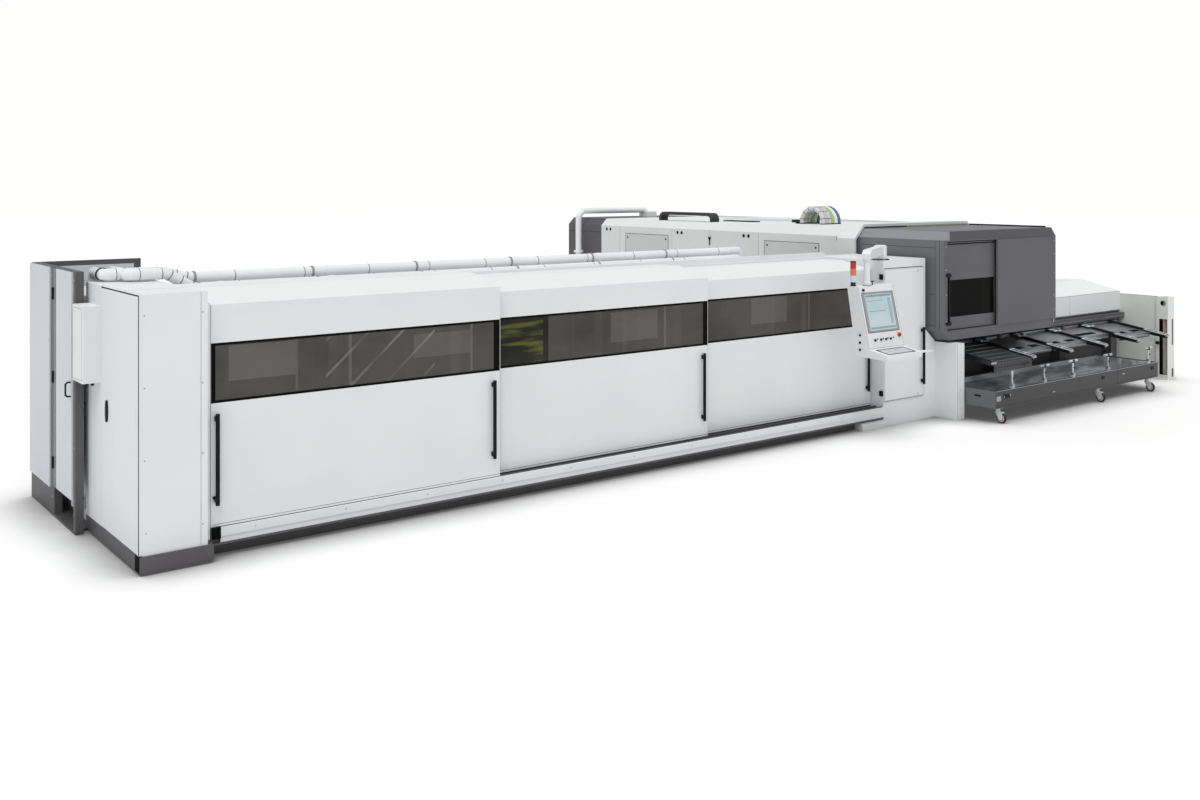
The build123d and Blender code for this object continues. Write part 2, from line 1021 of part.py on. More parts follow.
# Operator column with its side foot, room and tube way
with BuildPart() as column_body:
    column_outline = [
        (column_left, 0),
        (column_foot_end, 0),
        (column_foot_end, column_foot_top),
        (column_right, column_foot_top + column_foot_slope),
        (column_right, column_top),
        (column_left, column_top),
    ]
    along_y(column_outline, (column_front, column_back))
    slab(
        (column_left + column_room_margin, column_right - column_room_margin * 2),
        (column_front - overrun, column_front + column_room_depth),
        (column_leaf_bottom + column_room_margin, column_leaf_top - column_room_margin),
        Mode.SUBTRACT,
    )
    slab(
        (column_left - overrun, column_foot_end + overrun),
        (tube_y - tube_way / 2, tube_y + tube_way / 2),
        (tube_z - tube_way / 2, tube_z + tube_way / 2),
        Mode.SUBTRACT,
    )
    with BuildSketch(Plane.XY):
        with Locations((column_left, (toe_front + line_front) / 2)):
            Rectangle(toe_length, line_front - toe_front, align=(Align.MAX, Align.CENTER))
    extrude(amount=toe_height)
    for hinge_z in (column_leaf_bottom + hinge_rise, column_leaf_top - hinge_rise - hinge_height):
        slab(
            (column_left - hinge_out, column_left),
            (column_front, column_front + hinge_depth),
            (hinge_z, hinge_z + hinge_height),
        )
pieces["column_body"] = column_body

column_leaf_x = column_left + column_leaf_left
column_leaf_front = column_front - column_leaf
with BuildPart() as column_door:
    slab(
        (column_leaf_x, column_right - column_leaf_right),
        (column_leaf_front, column_front - run_gap),
        (column_leaf_bottom, column_leaf_top),
    )
pieces["column_door"] = column_door

with BuildPart() as column_handle:
    bar_handle(
        column_right - column_leaf_right - column_bar_inset,
        column_leaf_front,
        column_bar_bottom,
        column_bar_length,
        bar_standoff,
    )
pieces["column_handle"] = column_handle

# Folded guard beside the unloading bay
with BuildPart() as side_guard:
    slab((column_foot_end, guard_right), (guard_front, guard_back), (0, guard_height))
    chamfer(side_guard.edges().filter_by(Axis.Z).group_by(Axis.Y)[0], guard_fold)
pieces["side_guard"] = side_guard

# Swing arm: hub on the column, sloping beam and drop tube
pivot_x = column_left + arm_pivot_x
drop_x = pivot_x - arm_reach_x
drop_y = arm_pivot_y - arm_reach_y
arm_reach = math.hypot(arm_reach_x, arm_reach_y)
arm_low = column_top + run_gap
arm_high = arm_low + arm_hub_height
with BuildPart() as swing_arm:
    rod((pivot_x, arm_pivot_y, arm_low), (0, 0, 1), arm_hub_radius, arm_hub_height)
    arm_plane = Plane(
        origin=(pivot_x, arm_pivot_y, 0),
        x_dir=(-arm_reach_x, -arm_reach_y, 0),
        z_dir=(-arm_reach_y, arm_reach_x, 0),
    )
    with BuildSketch(arm_plane.offset(-arm_width / 2)):
        Polygon(
            (0, arm_high - arm_height),
            (0, arm_high),
            (arm_reach - arm_slope, arm_high),
            (arm_reach + arm_width / 2, arm_high - arm_slope),
            (arm_reach + arm_width / 2, arm_high - arm_height),
            align=None,
        )
    extrude(amount=arm_width)
    boss_top = pendant_top + pendant_boss
    rod(
        (drop_x, drop_y, boss_top + run_gap),
        (0, 0, 1),
        drop_radius,
        arm_high - arm_height - boss_top,
    )
pieces["swing_arm"] = swing_arm

# Pendant case: leaning face, keyboard shelf and swivel boss
pendant_left = drop_x - pendant_left_of_drop
pendant_right = pendant_left + pendant_width
pendant_back = drop_y + pendant_back_of_drop
face_top_y = pendant_back - pendant_top_depth
face_low_y = face_top_y - pendant_lean
face_low_z = pendant_top - pendant_face_height
shelf_front = face_low_y - pendant_shelf_reach
shelf_z = face_low_z - pendant_shelf_drop
face_length = math.hypot(pendant_lean, pendant_face_height)
face_plane = Plane(
    origin=(pendant_left, face_top_y, pendant_top),
    x_dir=(1, 0, 0),
    z_dir=(0, -pendant_face_height, pendant_lean),
)
shelf_plane = Plane(
    origin=((pendant_left + pendant_right) / 2, (face_low_y + shelf_front) / 2, (face_low_z + shelf_z) / 2),
    x_dir=(1, 0, 0),
    z_dir=(0, -pendant_shelf_drop, pendant_shelf_reach),
)
stop_place = (pendant_width * stop_share, -face_length * stop_down_share)
with BuildPart() as pendant_case:
    case_section = [
        (pendant_back, pendant_top),
        (face_top_y, pendant_top),
        (face_low_y, face_low_z),
        (shelf_front, shelf_z),
        (shelf_front, shelf_z - pendant_shelf_lip),
        (pendant_back - pendant_back_lean, shelf_z - pendant_shelf_lip + pendant_bottom_rise),
    ]
    along_x(case_section, (pendant_left, pendant_right))
    rod((drop_x, drop_y, pendant_top), (0, 0, 1), pendant_boss_radius, pendant_boss)
    wing_plan = [
        (pendant_right, shelf_front),
        (pendant_right + pendant_wing, shelf_front),
        (pendant_right, shelf_front + pendant_wing_depth),
    ]
    along_z(wing_plan, (shelf_z - pendant_wing_skin, shelf_z))
    with BuildSketch(shelf_plane):
        Rectangle(pendant_width * keys_width_share, pendant_shelf_reach * keys_depth_share)
    extrude(amount=-keys_sink, mode=Mode.SUBTRACT)
    with BuildSketch(face_plane):
        with Locations(stop_place):
            Circle(stop_stem_radius + run_gap)
    extrude(amount=-stop_stem - stop_travel - run_gap, mode=Mode.SUBTRACT)
pieces["pendant_case"] = pendant_case

with BuildPart() as pendant_screen:
    with BuildSketch(face_plane):
        screen_mid = -face_length * (screen_top_share + screen_bottom_share) / 2
        with Locations((pendant_width / 2, screen_mid)):
            RectangleRounded(
                pendant_width * screen_width_share,
                face_length * (screen_bottom_share - screen_top_share),
                screen_corner,
            )
    extrude(amount=screen_proud)
pieces["pendant_screen"] = pendant_screen

# Mushroom stop button in its hole
with BuildPart() as stop_button:
    with BuildSketch(face_plane.offset(-stop_stem)):
        with Locations(stop_place):
            Circle(stop_stem_radius)
    extrude(amount=stop_stem + stop_stand)
    with BuildSketch(face_plane.offset(stop_stand)):
        with Locations(stop_place):
            Circle(stop_cap_radius)
    extrude(amount=stop_cap)
    chamfer(stop_button.faces().sort_by(Axis.Y)[0].edges(), stop_travel)
pieces["stop_button"] = stop_button

# Signal lamp with three stacked lenses
with BuildPart() as signal_tower:
    tower_x = pendant_left + tower_inset
    tower_y = pendant_back - tower_back
    lens_base = pendant_top + tower_base
    rod((tower_x, tower_y, pendant_top), (0, 0, 1), tower_base_radius, tower_base)
    for step in range(tower_lens_count):
        lens_low = lens_base + tower_lens * step
        rod((tower_x, tower_y, lens_low), (0, 0, 1), tower_radius, tower_lens - tower_groove)
        rod(
            (tower_x, tower_y, lens_low + tower_lens - tower_groove),
            (0, 0, 1),
            tower_base_radius,
            tower_groove,
        )
pieces["signal_tower"] = signal_tower

# Eight-sided cabin with a front rim and two door runners
collar_inner_back = collar_back - collar_plate
opening_left = cabin_left + cabin_opening_left
opening_right = cabin_right - cabin_opening_right
rim_back = cabin_front + cabin_rim
with BuildPart() as cabin_shell:
    cabin_outline = octagon(cabin_left, cabin_right, cabin_bottom, cabin_top, cabin_chamfer)
    cabin_inside = octagon(
        cabin_left + cabin_skin,
        cabin_right - cabin_skin,
        cabin_bottom + cabin_skin,
        cabin_top - cabin_skin,
        inner_corner(cabin_chamfer, cabin_skin),
    )
    along_y(cabin_outline, (cabin_front, collar_inner_back))
    along_y(cabin_inside, (rim_back, collar_inner_back + overrun), Mode.SUBTRACT)
    slab(
        (opening_left, opening_right),
        (cabin_front - overrun, rim_back + overrun),
        (cabin_opening_bottom, cabin_opening_top),
        Mode.SUBTRACT,
    )
    runner_back = rim_back + cabin_runner_depth
    for low in (cabin_opening_bottom - cabin_leaf_lap - cabin_runner, cabin_opening_top + cabin_leaf_lap):
        slab(
            (cabin_left + cabin_skin, cabin_right - cabin_skin),
            (rim_back, runner_back),
            (low, low + cabin_runner),
        )
    slab(
        (cabin_left + chute_margin, cabin_right - chute_margin),
        (chute_front, chute_back),
        (cabin_bottom - overrun, cabin_bottom + cabin_skin + overrun),
        Mode.SUBTRACT,
    )
    slab(
        (cabin_left - overrun, cabin_left + cabin_skin + overrun),
        (tube_y - tube_way / 2, tube_y + tube_way / 2),
        (tube_z - tube_way / 2, tube_z + tube_way / 2),
        Mode.SUBTRACT,
    )
pieces["cabin_shell"] = cabin_shell

with BuildPart() as cabin_front_panel:
    panel_front = cabin_front - cabin_panel_proud
    slab(
        (cabin_left + cabin_panel_left, opening_right),
        (panel_front, panel_front + cabin_panel_skin),
        (cabin_opening_bottom, cabin_opening_top),
    )
    corner_edges = cabin_front_panel.edges().filter_by(Axis.Y).group_by(Axis.X)[-1]
    fillet(corner_edges.sort_by(Axis.Z)[-1], cabin_panel_round)
pieces["cabin_front_panel"] = cabin_front_panel

leaf_left = opening_left - cabin_leaf_lap
leaf_front = rim_back + cabin_leaf_setback
leaf_low = cabin_opening_bottom - cabin_leaf_lap + run_gap
leaf_high = cabin_opening_top + cabin_leaf_lap - run_gap
pane_left = leaf_left + cabin_window_left
pane_right = leaf_left + cabin_leaf_width - cabin_window_right
with BuildPart() as cabin_door:
    slab(
        (leaf_left, leaf_left + cabin_leaf_width),
        (leaf_front, leaf_front + cabin_leaf),
        (leaf_low, leaf_high),
    )
    chamfer(cabin_door.edges().filter_by(Axis.Y).group_by(Axis.X)[0], cabin_leaf_corner)
    slab(
        (pane_left, pane_right),
        (leaf_front - overrun, leaf_front + cabin_leaf + overrun),
        (cabin_window_bottom, cabin_window_top),
        Mode.SUBTRACT,
    )
pieces["cabin_door"] = cabin_door

with BuildPart() as cabin_window:
    slab(
        (pane_left, pane_right),
        (leaf_front + window_recess, leaf_front + window_recess + cabin_glass),
        (cabin_window_bottom, cabin_window_top),
    )
pieces["cabin_window"] = cabin_window

with BuildPart() as cabin_handle:
    bar_handle(
        leaf_left + cabin_bar_x,
        leaf_front,
        cabin_bar_bottom,
        cabin_bar_length,
        cabin_bar_standoff,
    )
pieces["cabin_handle"] = cabin_handle

# Pale tunnel with its wide front collar
mouth_left = tunnel_left + tunnel_skin
mouth_right = tunnel_right - tunnel_skin
mouth_top = tunnel_top - tunnel_skin
collar_left = cabin_left - collar_margin
collar_right = cabin_right + collar_margin
with BuildPart() as tunnel_body:
    along_y(
        arch(tunnel_left, tunnel_right, tunnel_base, tunnel_top, tunnel_chamfer),
        (collar_back, tunnel_back),
    )
    along_y(
        arch(collar_left, collar_right, 0, collar_top, collar_chamfer),
        (collar_front, collar_back),
    )
    along_y(
        arch(
            collar_left + collar_skin,
            collar_right - collar_skin,
            -overrun,
            collar_top - collar_skin,
            inner_corner(collar_chamfer, collar_skin),
        ),
        (collar_front - overrun, collar_inner_back),
        Mode.SUBTRACT,
    )
    along_y(
        arch(mouth_left, mouth_right, tunnel_mouth_bottom, mouth_top, tunnel_chamfer),
        (collar_inner_back - overrun, collar_back + overrun),
        Mode.SUBTRACT,
    )
    along_y(
        arch(mouth_left, mouth_right, tunnel_base - overrun, mouth_top, tunnel_chamfer),
        (collar_back, tunnel_back + overrun),
        Mode.SUBTRACT,
    )
    for start in vent_starts:
        for turn in range(2):
            rod(
                (tunnel_left, collar_back + start + vent_pitch * turn, vent_z),
                (1, 0, 0),
                vent_radius,
                vent_depth,
                Mode.SUBTRACT,
            )
pieces["tunnel_body"] = tunnel_body

# Dark closed end of the tunnel
with BuildPart() as tunnel_end:
    along_y(
        arch(tunnel_left, tunnel_right, 0, tunnel_top, tunnel_chamfer),
        (tunnel_back, machine_back),
    )
    along_y(
        arch(mouth_left, mouth_right, tunnel_base, mouth_top, tunnel_chamfer),
        (tunnel_back - overrun, machine_back - tunnel_skin),
        Mode.SUBTRACT,
    )
pieces["tunnel_end"] = tunnel_end

# Access covers on the tunnel's side
with BuildPart() as access_covers:
    for start, length in zip(cover_starts, cover_lengths):
        cover_y = collar_back + start
        slab(
            (tunnel_left - cover_skin, tunnel_left),
            (cover_y, cover_y + length),
            (cover_bottom, cover_top),
        )
    fillet(access_covers.edges().filter_by(Axis.X), cover_round)
pieces["access_covers"] = access_covers

# Sheet table of upright slats on its base, and the gantry's two rails
with BuildPart() as sheet_bed:
    table_left = tunnel_left + bed_margin
    table_right = tunnel_right - bed_margin
    table_low = collar_back + table_front
    table_high = tunnel_back - table_end
    slab((tunnel_left, tunnel_right), (collar_back, tunnel_back), (0, tunnel_base))
    for left in (table_left, table_right - bed_wall):
        slab((left, left + bed_wall), (table_low, table_high), (tunnel_base, slat_top - slat_height))
    table_middle = (table_low + table_high) / 2
    with Locations(((table_left + table_right) / 2, table_middle, slat_top - slat_height / 2)):
        with GridLocations(0, (table_high - table_low) / slat_count, 1, slat_count):
            Box(table_right - table_left, slat_skin, slat_height)
    for left in (mouth_left, mouth_right - gantry_rail_width):
        slab(
            (left, left + gantry_rail_width),
            (gantry_rail_front, tunnel_back - gantry_rail_end),
            (gantry_rail_top - gantry_rail_height, gantry_rail_top),
        )
pieces["sheet_bed"] = sheet_bed

# Gantry beam with flutes, carriage plate and cutting head
head_back = tube_y + head_body / 2
plate_back = head_back + head_plate
beam_front = plate_back + run_gap
beam_low = gantry_rail_top + run_gap
with BuildPart() as gantry_beam:
    slab(
        (mouth_left + gantry_end_gap, mouth_right - gantry_end_gap),
        (beam_front, beam_front + gantry_width),
        (beam_low, beam_low + gantry_height),
    )
    chamfer(gantry_beam.edges().filter_by(Axis.X), gantry_flute)
pieces["gantry_beam"] = gantry_beam

plate_left = cabin_left + head_x
with BuildPart() as head_carriage:
    slab(
        (plate_left, plate_left + head_plate_width),
        (head_back + run_gap, plate_back),
        (beam_low - head_plate_drop, beam_low + gantry_height + head_plate_rise),
    )
    fillet(head_carriage.edges().filter_by(Axis.Y), gantry_flute)
pieces["head_carriage"] = head_carriage

with BuildPart() as cutting_head:
    head_mid = plate_left + head_plate_width / 2
    head_low = head_body_top - head_body_height
    slab(
        (head_mid - head_body_width / 2, head_mid + head_body_width / 2),
        (tube_y - head_body / 2, head_back),
        (head_low, head_body_top),
    )
    rod((head_mid, tube_y, head_low), (0, 0, -1), nozzle_radius, nozzle_height)
    with Locations((head_mid, tube_y, head_low - nozzle_height - nozzle_tip / 2)):
        Cone(nozzle_tip_radius, nozzle_radius, nozzle_tip)
pieces["cutting_head"] = cutting_head

# Extraction riser from the tunnel's end over its roof
riser_y = machine_back - riser_from_end
riser_x = tunnel_left - riser_out
riser_end = riser_x + riser_run
with BuildPart() as extraction_pipe:
    riser_points = [
        (tunnel_left, riser_y, riser_low),
        (riser_x, riser_y, riser_low),
        (riser_x, riser_y, riser_high),
        (riser_end, riser_y, riser_high),
        (riser_end, riser_y, tunnel_top),
    ]
    pipe(riser_points, riser_bend, riser_radius)
    rod((riser_x, riser_y, riser_flange_z), (0, 0, 1), riser_flange, riser_flange_skin)
    slab(
        (riser_end - riser_box / 2, riser_end + riser_box / 2),
        (riser_y - riser_box / 2, riser_y + riser_box / 2),
        (tunnel_top, tunnel_top + riser_box_height),
    )
pieces["extraction_pipe"] = extraction_pipe

# Hoses in an arch and a cable chain on the roof
with BuildPart() as hose_loop:
    for turn in range(loop_count):
        hose_x = tunnel_left + loop_x + loop_pitch * turn
        hose_y = collar_back + loop_y
        hose_points = [(hose_x, hose_y + loop_radius, tunnel_top)]
        for step in range(loop_steps + 1):
            turned = math.pi * step / loop_steps
            hose_points.append(
                (
                    hose_x,
                    hose_y + loop_radius * math.cos(turned),
                    tunnel_top + loop_stem + loop_radius * math.sin(turned),
                )
            )
        hose_points.append((hose_x, hose_y - loop_radius, tunnel_top))
        with BuildLine() as hose_way:
            Polyline(*hose_points)
        with BuildSketch(Plane(origin=hose_points[0], z_dir=(0, 0, 1))) as hose_section:
            Circle(loop_hose)
        sweep(hose_section.sketch, path=hose_way.line, transition=Transition.RIGHT)
    chain_left = tunnel_left + chain_x
    chain_middle = collar_back + chain_start + chain_length / 2
    with BuildSketch(Plane.YZ.offset(chain_left)) as chain_section:
        with Locations((chain_middle, tunnel_top)):
            RectangleRounded(chain_length, chain_height * 2, chain_bend)
            RectangleRounded(
                chain_length - chain_skin * 2,
                (chain_height - chain_skin) * 2,
                chain_bend - chain_skin,
                mode=Mode.SUBTRACT,
            )
        with Locations((chain_middle, tunnel_top - chain_height)):
            Rectangle(chain_length, chain_height * 2, mode=Mode.SUBTRACT)
    extrude(chain_section.sketch, amount=chain_width)
pieces["hose_loop"] = hose_loop

# Bearer, ledge, legs and shaft brackets of the unloading side
bearer_left = column_foot_end
bearer_length = side_right - bearer_left
with BuildPart() as unload_frame:
    slab(
        (guard_right, side_right),
        (bearer_front, bearer_front + bearer_depth),
        (bearer_bottom, cabin_bottom),
    )
    slab(
        (bearer_left, guard_right),
        (bearer_front, bearer_front + bearer_depth),
        (bearer_bottom, column_foot_top),
    )
    slab(
        (cabin_right, side_right),
        (bearer_front, bearer_front + bearer_depth),
        (cabin_bottom, cover_rise),
    )
    slab(
        (guard_right, side_right),
        (ledge_front, bearer_front),
        (cabin_bottom - ledge_height, cabin_bottom - ledge_drop + ledge_height / 4),
    )
    apron_back = bearer_front + bearer_leg
    slab(
        (bearer_left, side_right),
        (apron_back - apron_skin, apron_back),
        (0, bearer_bottom),
    )
    for share in bearer_leg_shares:
        leg_x = bearer_left + bearer_length * share
        slab(
            (leg_x, leg_x + bearer_leg),
            (bearer_front, bearer_front + bearer_leg),
            (0, bearer_bottom),
        )
    for share in bracket_shares:
        bracket_x = bearer_left + bearer_length * share
        bracket_plan = [
            (bearer_front, bearer_bottom),
            (bearer_front, shaft_z + bracket_eye),
            (shaft_y - bracket_eye, shaft_z + bracket_eye),
            (shaft_y - bracket_eye, shaft_z - bracket_eye),
            (shaft_y, bearer_bottom),
        ]
        along_x(bracket_plan, (bracket_x, bracket_x + bracket_skin))
    rod(
        (bearer_left, shaft_y, shaft_z),
        (1, 0, 0),
        shaft_radius + run_gap,
        bearer_length,
        Mode.SUBTRACT,
    )
pieces["unload_frame"] = unload_frame

# Tilting table: one shaft, tapered arms and the trays between them
with BuildPart() as tilt_table:
    shaft_left = bearer_left + shaft_start
    shaft_right = side_right - shaft_end
    rod((shaft_left, shaft_y, shaft_z), (1, 0, 0), shaft_radius, shaft_right - shaft_left)
    table_length = shaft_right - shaft_left
    arm_end = shaft_y - arm_length
    arm_outline = [
        (shaft_y, shaft_z + shaft_radius),
        (shaft_y, shaft_z - shaft_radius),
        (shaft_y - arm_root, shaft_z - arm_root),
        (arm_end, shaft_z - arm_fall - arm_tip),
        (arm_end, shaft_z - arm_fall),
        (shaft_y - arm_root, shaft_z + shaft_radius),
    ]
    arm_lefts = [shaft_left + table_length * share for share in arm_shares]
    for arm_x in arm_lefts:
        along_x(arm_outline, (arm_x, arm_x + arm_skin))
    fall = (arm_fall + shaft_radius) / (arm_length - arm_root)
    tray_root = shaft_y - arm_root - tray_root_gap
    tray_root_z = shaft_z + shaft_radius - fall * tray_root_gap - arm_rise
    for step, front_gap in enumerate(tray_front_gaps):
        tray_tip = arm_end + front_gap
        tray_tip_z = shaft_z - arm_fall + fall * front_gap - arm_rise
        tray_low = tray_tip_z - tray_edges[step]
        tray_outline = [
            (tray_root, tray_root_z),
            (tray_tip, tray_tip_z),
            (tray_tip, tray_low),
            (tray_tip + tray_toe, tray_low),
            (tray_tip + tray_toe, tray_low + tray_skin),
            (tray_tip + tray_skin, tray_low + tray_skin),
            (tray_tip + tray_skin, tray_tip_z - tray_skin),
            (tray_root, tray_root_z - tray_skin),
        ]
        along_x(tray_outline, (arm_lefts[step] + arm_skin, arm_lefts[step + 1]))
pieces["tilt_table"] = tilt_table

# Pale beam cover with a sloping crest and a falling end
with BuildPart() as beam_cover:
    cover_back = cover_front + cover_depth
    cover_section = [
        (cover_front, cover_rise),
        (cover_front, cover_crease),
        (cover_front + cover_slope_depth, cover_crest),
        (cover_back, cover_crest),
        (cover_back, cover_rise),
    ]
    along_x(cover_section, (cabin_right, side_right))
    cut_outline = [
        (side_right + overrun, cover_crest + overrun),
        (side_right - cover_end_slope, cover_crest + overrun),
        (side_right - cover_end_slope, cover_crest),
        (side_right, cover_crest - cover_end_drop),
        (side_right + overrun, cover_crest - cover_end_drop),
    ]
    along_y(cut_outline, (cover_front - overrun, cover_back + overrun), Mode.SUBTRACT)
    slab(
        (cabin_right, side_right - cover_end_round),
        (cover_front + cover_end_round, cover_back - overrun),
        (cover_rise - overrun, cover_crease - overrun),
        Mode.SUBTRACT,
    )
pieces["beam_cover"] = beam_cover

# End plate and its slotted post on a foot
with BuildPart() as end_guard:
    post_back = post_side_front + post_depth
    post_left = side_right - wall_plate
    post_right = post_left + post_width
    slab(
        (side_right, side_right + wall_plate),
        (post_back, bearer_front + bearer_depth),
        (wall_bottom, wall_top),
    )
    slab((post_left, post_right), (post_side_front, post_back), (0, wall_top))
    slab(
        (post_left + post_wall, post_right - post_wall),
        (post_side_front + post_wall, post_back - post_wall),
        (post_foot, wall_top - post_wall),
        Mode.SUBTRACT,
    )
    post_mid = (post_side_front + post_back) / 2 - post_slot_shift
    slab(
        (post_left - overrun, post_left + post_wall * 2),
        (post_mid - post_slot_width / 2, post_mid + post_slot_width / 2),
        (post_slot_bottom, post_slot_top),
        Mode.SUBTRACT,
    )
    rod(
        (post_left - overrun, post_mid, post_eye_z),
        (1, 0, 0),
        post_eye_radius,
        overrun + post_wall * 2,
        Mode.SUBTRACT,
    )
    slot_x = post_left + post_width * post_side_slot_share
    slab(
        (slot_x - post_side_slot / 2, slot_x + post_side_slot / 2),
        (post_side_front - overrun, post_side_front + post_wall * 2),
        (post_side_slot_bottom, post_side_slot_top),
        Mode.SUBTRACT,
    )
    slab(
        (post_left - post_foot_margin, post_right + post_wall * 2),
        (post_side_front - post_wall * 2, post_back + post_foot_margin),
        (0, post_foot),
    )
    rod(
        (post_left + post_rod_inset, post_mid, post_foot),
        (0, 0, 1),
        post_rod_radius,
        wall_top - post_foot - post_wall,
    )
    rod((post_left, post_back - post_knob_radius, post_knob_z), (-1, 0, 0), post_knob_radius, post_knob)
pieces["end_guard"] = end_guard

# Trolley tray with a ramped floor, front flange and clamp posts
with BuildPart() as trolley_tray:
    trolley_back = trolley_front + trolley_depth
    trolley_top = trolley_bottom + trolley_height
    slab((trolley_left, trolley_right), (trolley_front, trolley_back), (trolley_bottom, trolley_top))
    slab(
        (trolley_left + trolley_skin, trolley_right - trolley_skin),
        (trolley_front + trolley_skin, trolley_back - trolley_skin),
        (trolley_bottom + trolley_skin, trolley_top + overrun),
        Mode.SUBTRACT,
    )
    slab(
        (trolley_left, trolley_right),
        (trolley_front + trolley_skin, trolley_front + trolley_skin + trolley_flange),
        (trolley_top - trolley_skin, trolley_top),
    )
    ramp_outline = [
        (trolley_back - trolley_skin, trolley_bottom + trolley_skin),
        (trolley_back - trolley_skin - trolley_ramp, trolley_bottom + trolley_skin),
        (trolley_back - trolley_skin, trolley_bottom + trolley_skin + trolley_ramp_rise),
    ]
    along_x(ramp_outline, (trolley_left + trolley_skin, trolley_right - trolley_skin))
    clamp_y = trolley_front + trolley_skin + trolley_flange / 2
    for share in clamp_shares:
        clamp_x = trolley_left + trolley_length * share
        slab(
            (clamp_x - clamp_foot / 2, clamp_x + clamp_foot / 2),
            (clamp_y - clamp_foot_depth / 2, clamp_y + clamp_foot_depth / 2),
            (trolley_top, trolley_top + clamp_foot_height),
        )
        rod((clamp_x, clamp_y, trolley_top), (0, 0, 1), clamp_radius, clamp_height)
    for share in roller_shares:
        roller_x = trolley_left + trolley_length * share - roller_length / 2
        rod(
            (roller_x, clamp_y, trolley_top + clamp_height),
            (1, 0, 0),
            roller_radius,
            roller_length,
        )
    rear_y = trolley_back - caster_inset
    for share in caster_shares:
        rear_x = trolley_left + trolley_length * share
        rod(
            (rear_x - wheel_width / 2, rear_y, wheel_radius),
            (1, 0, 0),
            wheel_radius,
            wheel_width,
        )
        slab(
            (rear_x - wheel_width / 2, rear_x + wheel_width / 2),
            (rear_y - fork_arm_width / 2, rear_y + fork_arm_width / 2),
            (wheel_radius, trolley_bottom),
        )
pieces["trolley_tray"] = trolley_tray

caster_y = trolley_front + caster_inset
wheel_y = caster_y - caster_trail
fork_out = wheel_width / 2 + fork_gap
bridge_low = wheel_radius * 2 + fork_gap


def caster_fork(step):
    """Add a swivel fork with its axle under the tray."""
    x = trolley_left + trolley_length * caster_shares[step]
    hub_top = trolley_bottom - run_gap
    rod((x, caster_y, bridge_low), (0, 0, 1), fork_hub_radius, hub_top - bridge_low)
    bridge_plan = [
        (x - fork_out - fork_skin, caster_y + fork_hub_radius),
        (x - fork_out - fork_skin, wheel_y - fork_arm_width / 2),
        (x + fork_out + fork_skin, wheel_y - fork_arm_width / 2),
        (x + fork_out + fork_skin, caster_y + fork_hub_radius),
    ]
    along_z(bridge_plan, (bridge_low, bridge_low + fork_bridge))
    arm_section = [
        (caster_y + fork_hub_radius, bridge_low + fork_bridge),
        (wheel_y - fork_arm_width / 2, bridge_low + fork_bridge),
        (wheel_y - fork_arm_width / 2, wheel_radius - fork_arm_width / 2),
        (wheel_y + fork_arm_width / 2, wheel_radius - fork_arm_width / 2),
    ]
    for left in (x - fork_out - fork_skin, x + fork_out):
        along_x(arm_section, (left, left + fork_skin))
    rod(
        (x - fork_out - fork_skin, wheel_y, wheel_radius),
        (1, 0, 0),
        axle_radius,
        (fork_out + fork_skin) * 2,
    )


def caster_wheel(step):
    """Add a crowned wheel with its axle hole."""
    x = trolley_left + trolley_length * caster_shares[step]
    rod((x - wheel_width / 2, wheel_y, wheel_radius), (1, 0, 0), wheel_radius, wheel_width)
    rod(
        (x - wheel_width / 2 - overrun, wheel_y, wheel_radius),
        (1, 0, 0),
        axle_radius + run_gap,
        wheel_width + overrun * 2,
        Mode.SUBTRACT,
    )


with BuildPart() as caster_fork_1:
    caster_fork(0)
pieces["caster_fork_1"] = caster_fork_1

with BuildPart() as caster_fork_2:
    caster_fork(1)
pieces["caster_fork_2"] = caster_fork_2

with BuildPart() as caster_fork_3:
    caster_fork(2)
pieces["caster_fork_3"] = caster_fork_3

with BuildPart() as caster_wheel_1:
    caster_wheel(0)
    chamfer(caster_wheel_1.edges().filter_by(GeomType.CIRCLE).group_by(SortBy.RADIUS)[-1], wheel_crown)
pieces["caster_wheel_1"] = caster_wheel_1

with BuildPart() as caster_wheel_2:
    caster_wheel(1)
    chamfer(caster_wheel_2.edges().filter_by(GeomType.CIRCLE).group_by(SortBy.RADIUS)[-1], wheel_crown)
pieces["caster_wheel_2"] = caster_wheel_2

with BuildPart() as caster_wheel_3:
    caster_wheel(2)
    chamfer(caster_wheel_3.edges().filter_by(GeomType.CIRCLE).group_by(SortBy.RADIUS)[-1], wheel_crown)
pieces["caster_wheel_3"] = caster_wheel_3

# Every piece is set so that the plan's middle is the origin
left_most = -bay_out - bay_panel - pull_out - pull_rod
right_most = post_right + post_wall * 2
front_most = min(shelf_front, wheel_y - wheel_radius)
middle = Location((-(left_most + right_most) / 2, -(front_most + machine_back) / 2, 0))
os.makedirs("parts", exist_ok=True)
for name, piece in pieces.items():
    placed = piece.part.moved(middle)
    placed.label = name
    export_step(placed, "parts/" + name + ".step")
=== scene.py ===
import math

import bmesh
import bpy
from mathutils import Matrix, Vector


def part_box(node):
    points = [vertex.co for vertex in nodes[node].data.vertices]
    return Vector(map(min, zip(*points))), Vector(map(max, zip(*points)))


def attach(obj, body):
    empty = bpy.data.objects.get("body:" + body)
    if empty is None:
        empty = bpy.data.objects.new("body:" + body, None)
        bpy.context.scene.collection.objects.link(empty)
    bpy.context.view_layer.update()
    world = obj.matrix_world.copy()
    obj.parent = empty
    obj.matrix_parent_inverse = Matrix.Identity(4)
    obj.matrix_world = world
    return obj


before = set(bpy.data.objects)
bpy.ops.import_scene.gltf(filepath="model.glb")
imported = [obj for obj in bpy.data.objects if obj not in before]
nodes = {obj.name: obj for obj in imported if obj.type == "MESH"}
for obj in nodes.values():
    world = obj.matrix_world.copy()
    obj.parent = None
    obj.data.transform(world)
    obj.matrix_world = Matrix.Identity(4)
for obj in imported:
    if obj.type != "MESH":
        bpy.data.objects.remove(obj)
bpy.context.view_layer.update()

scene = bpy.context.scene

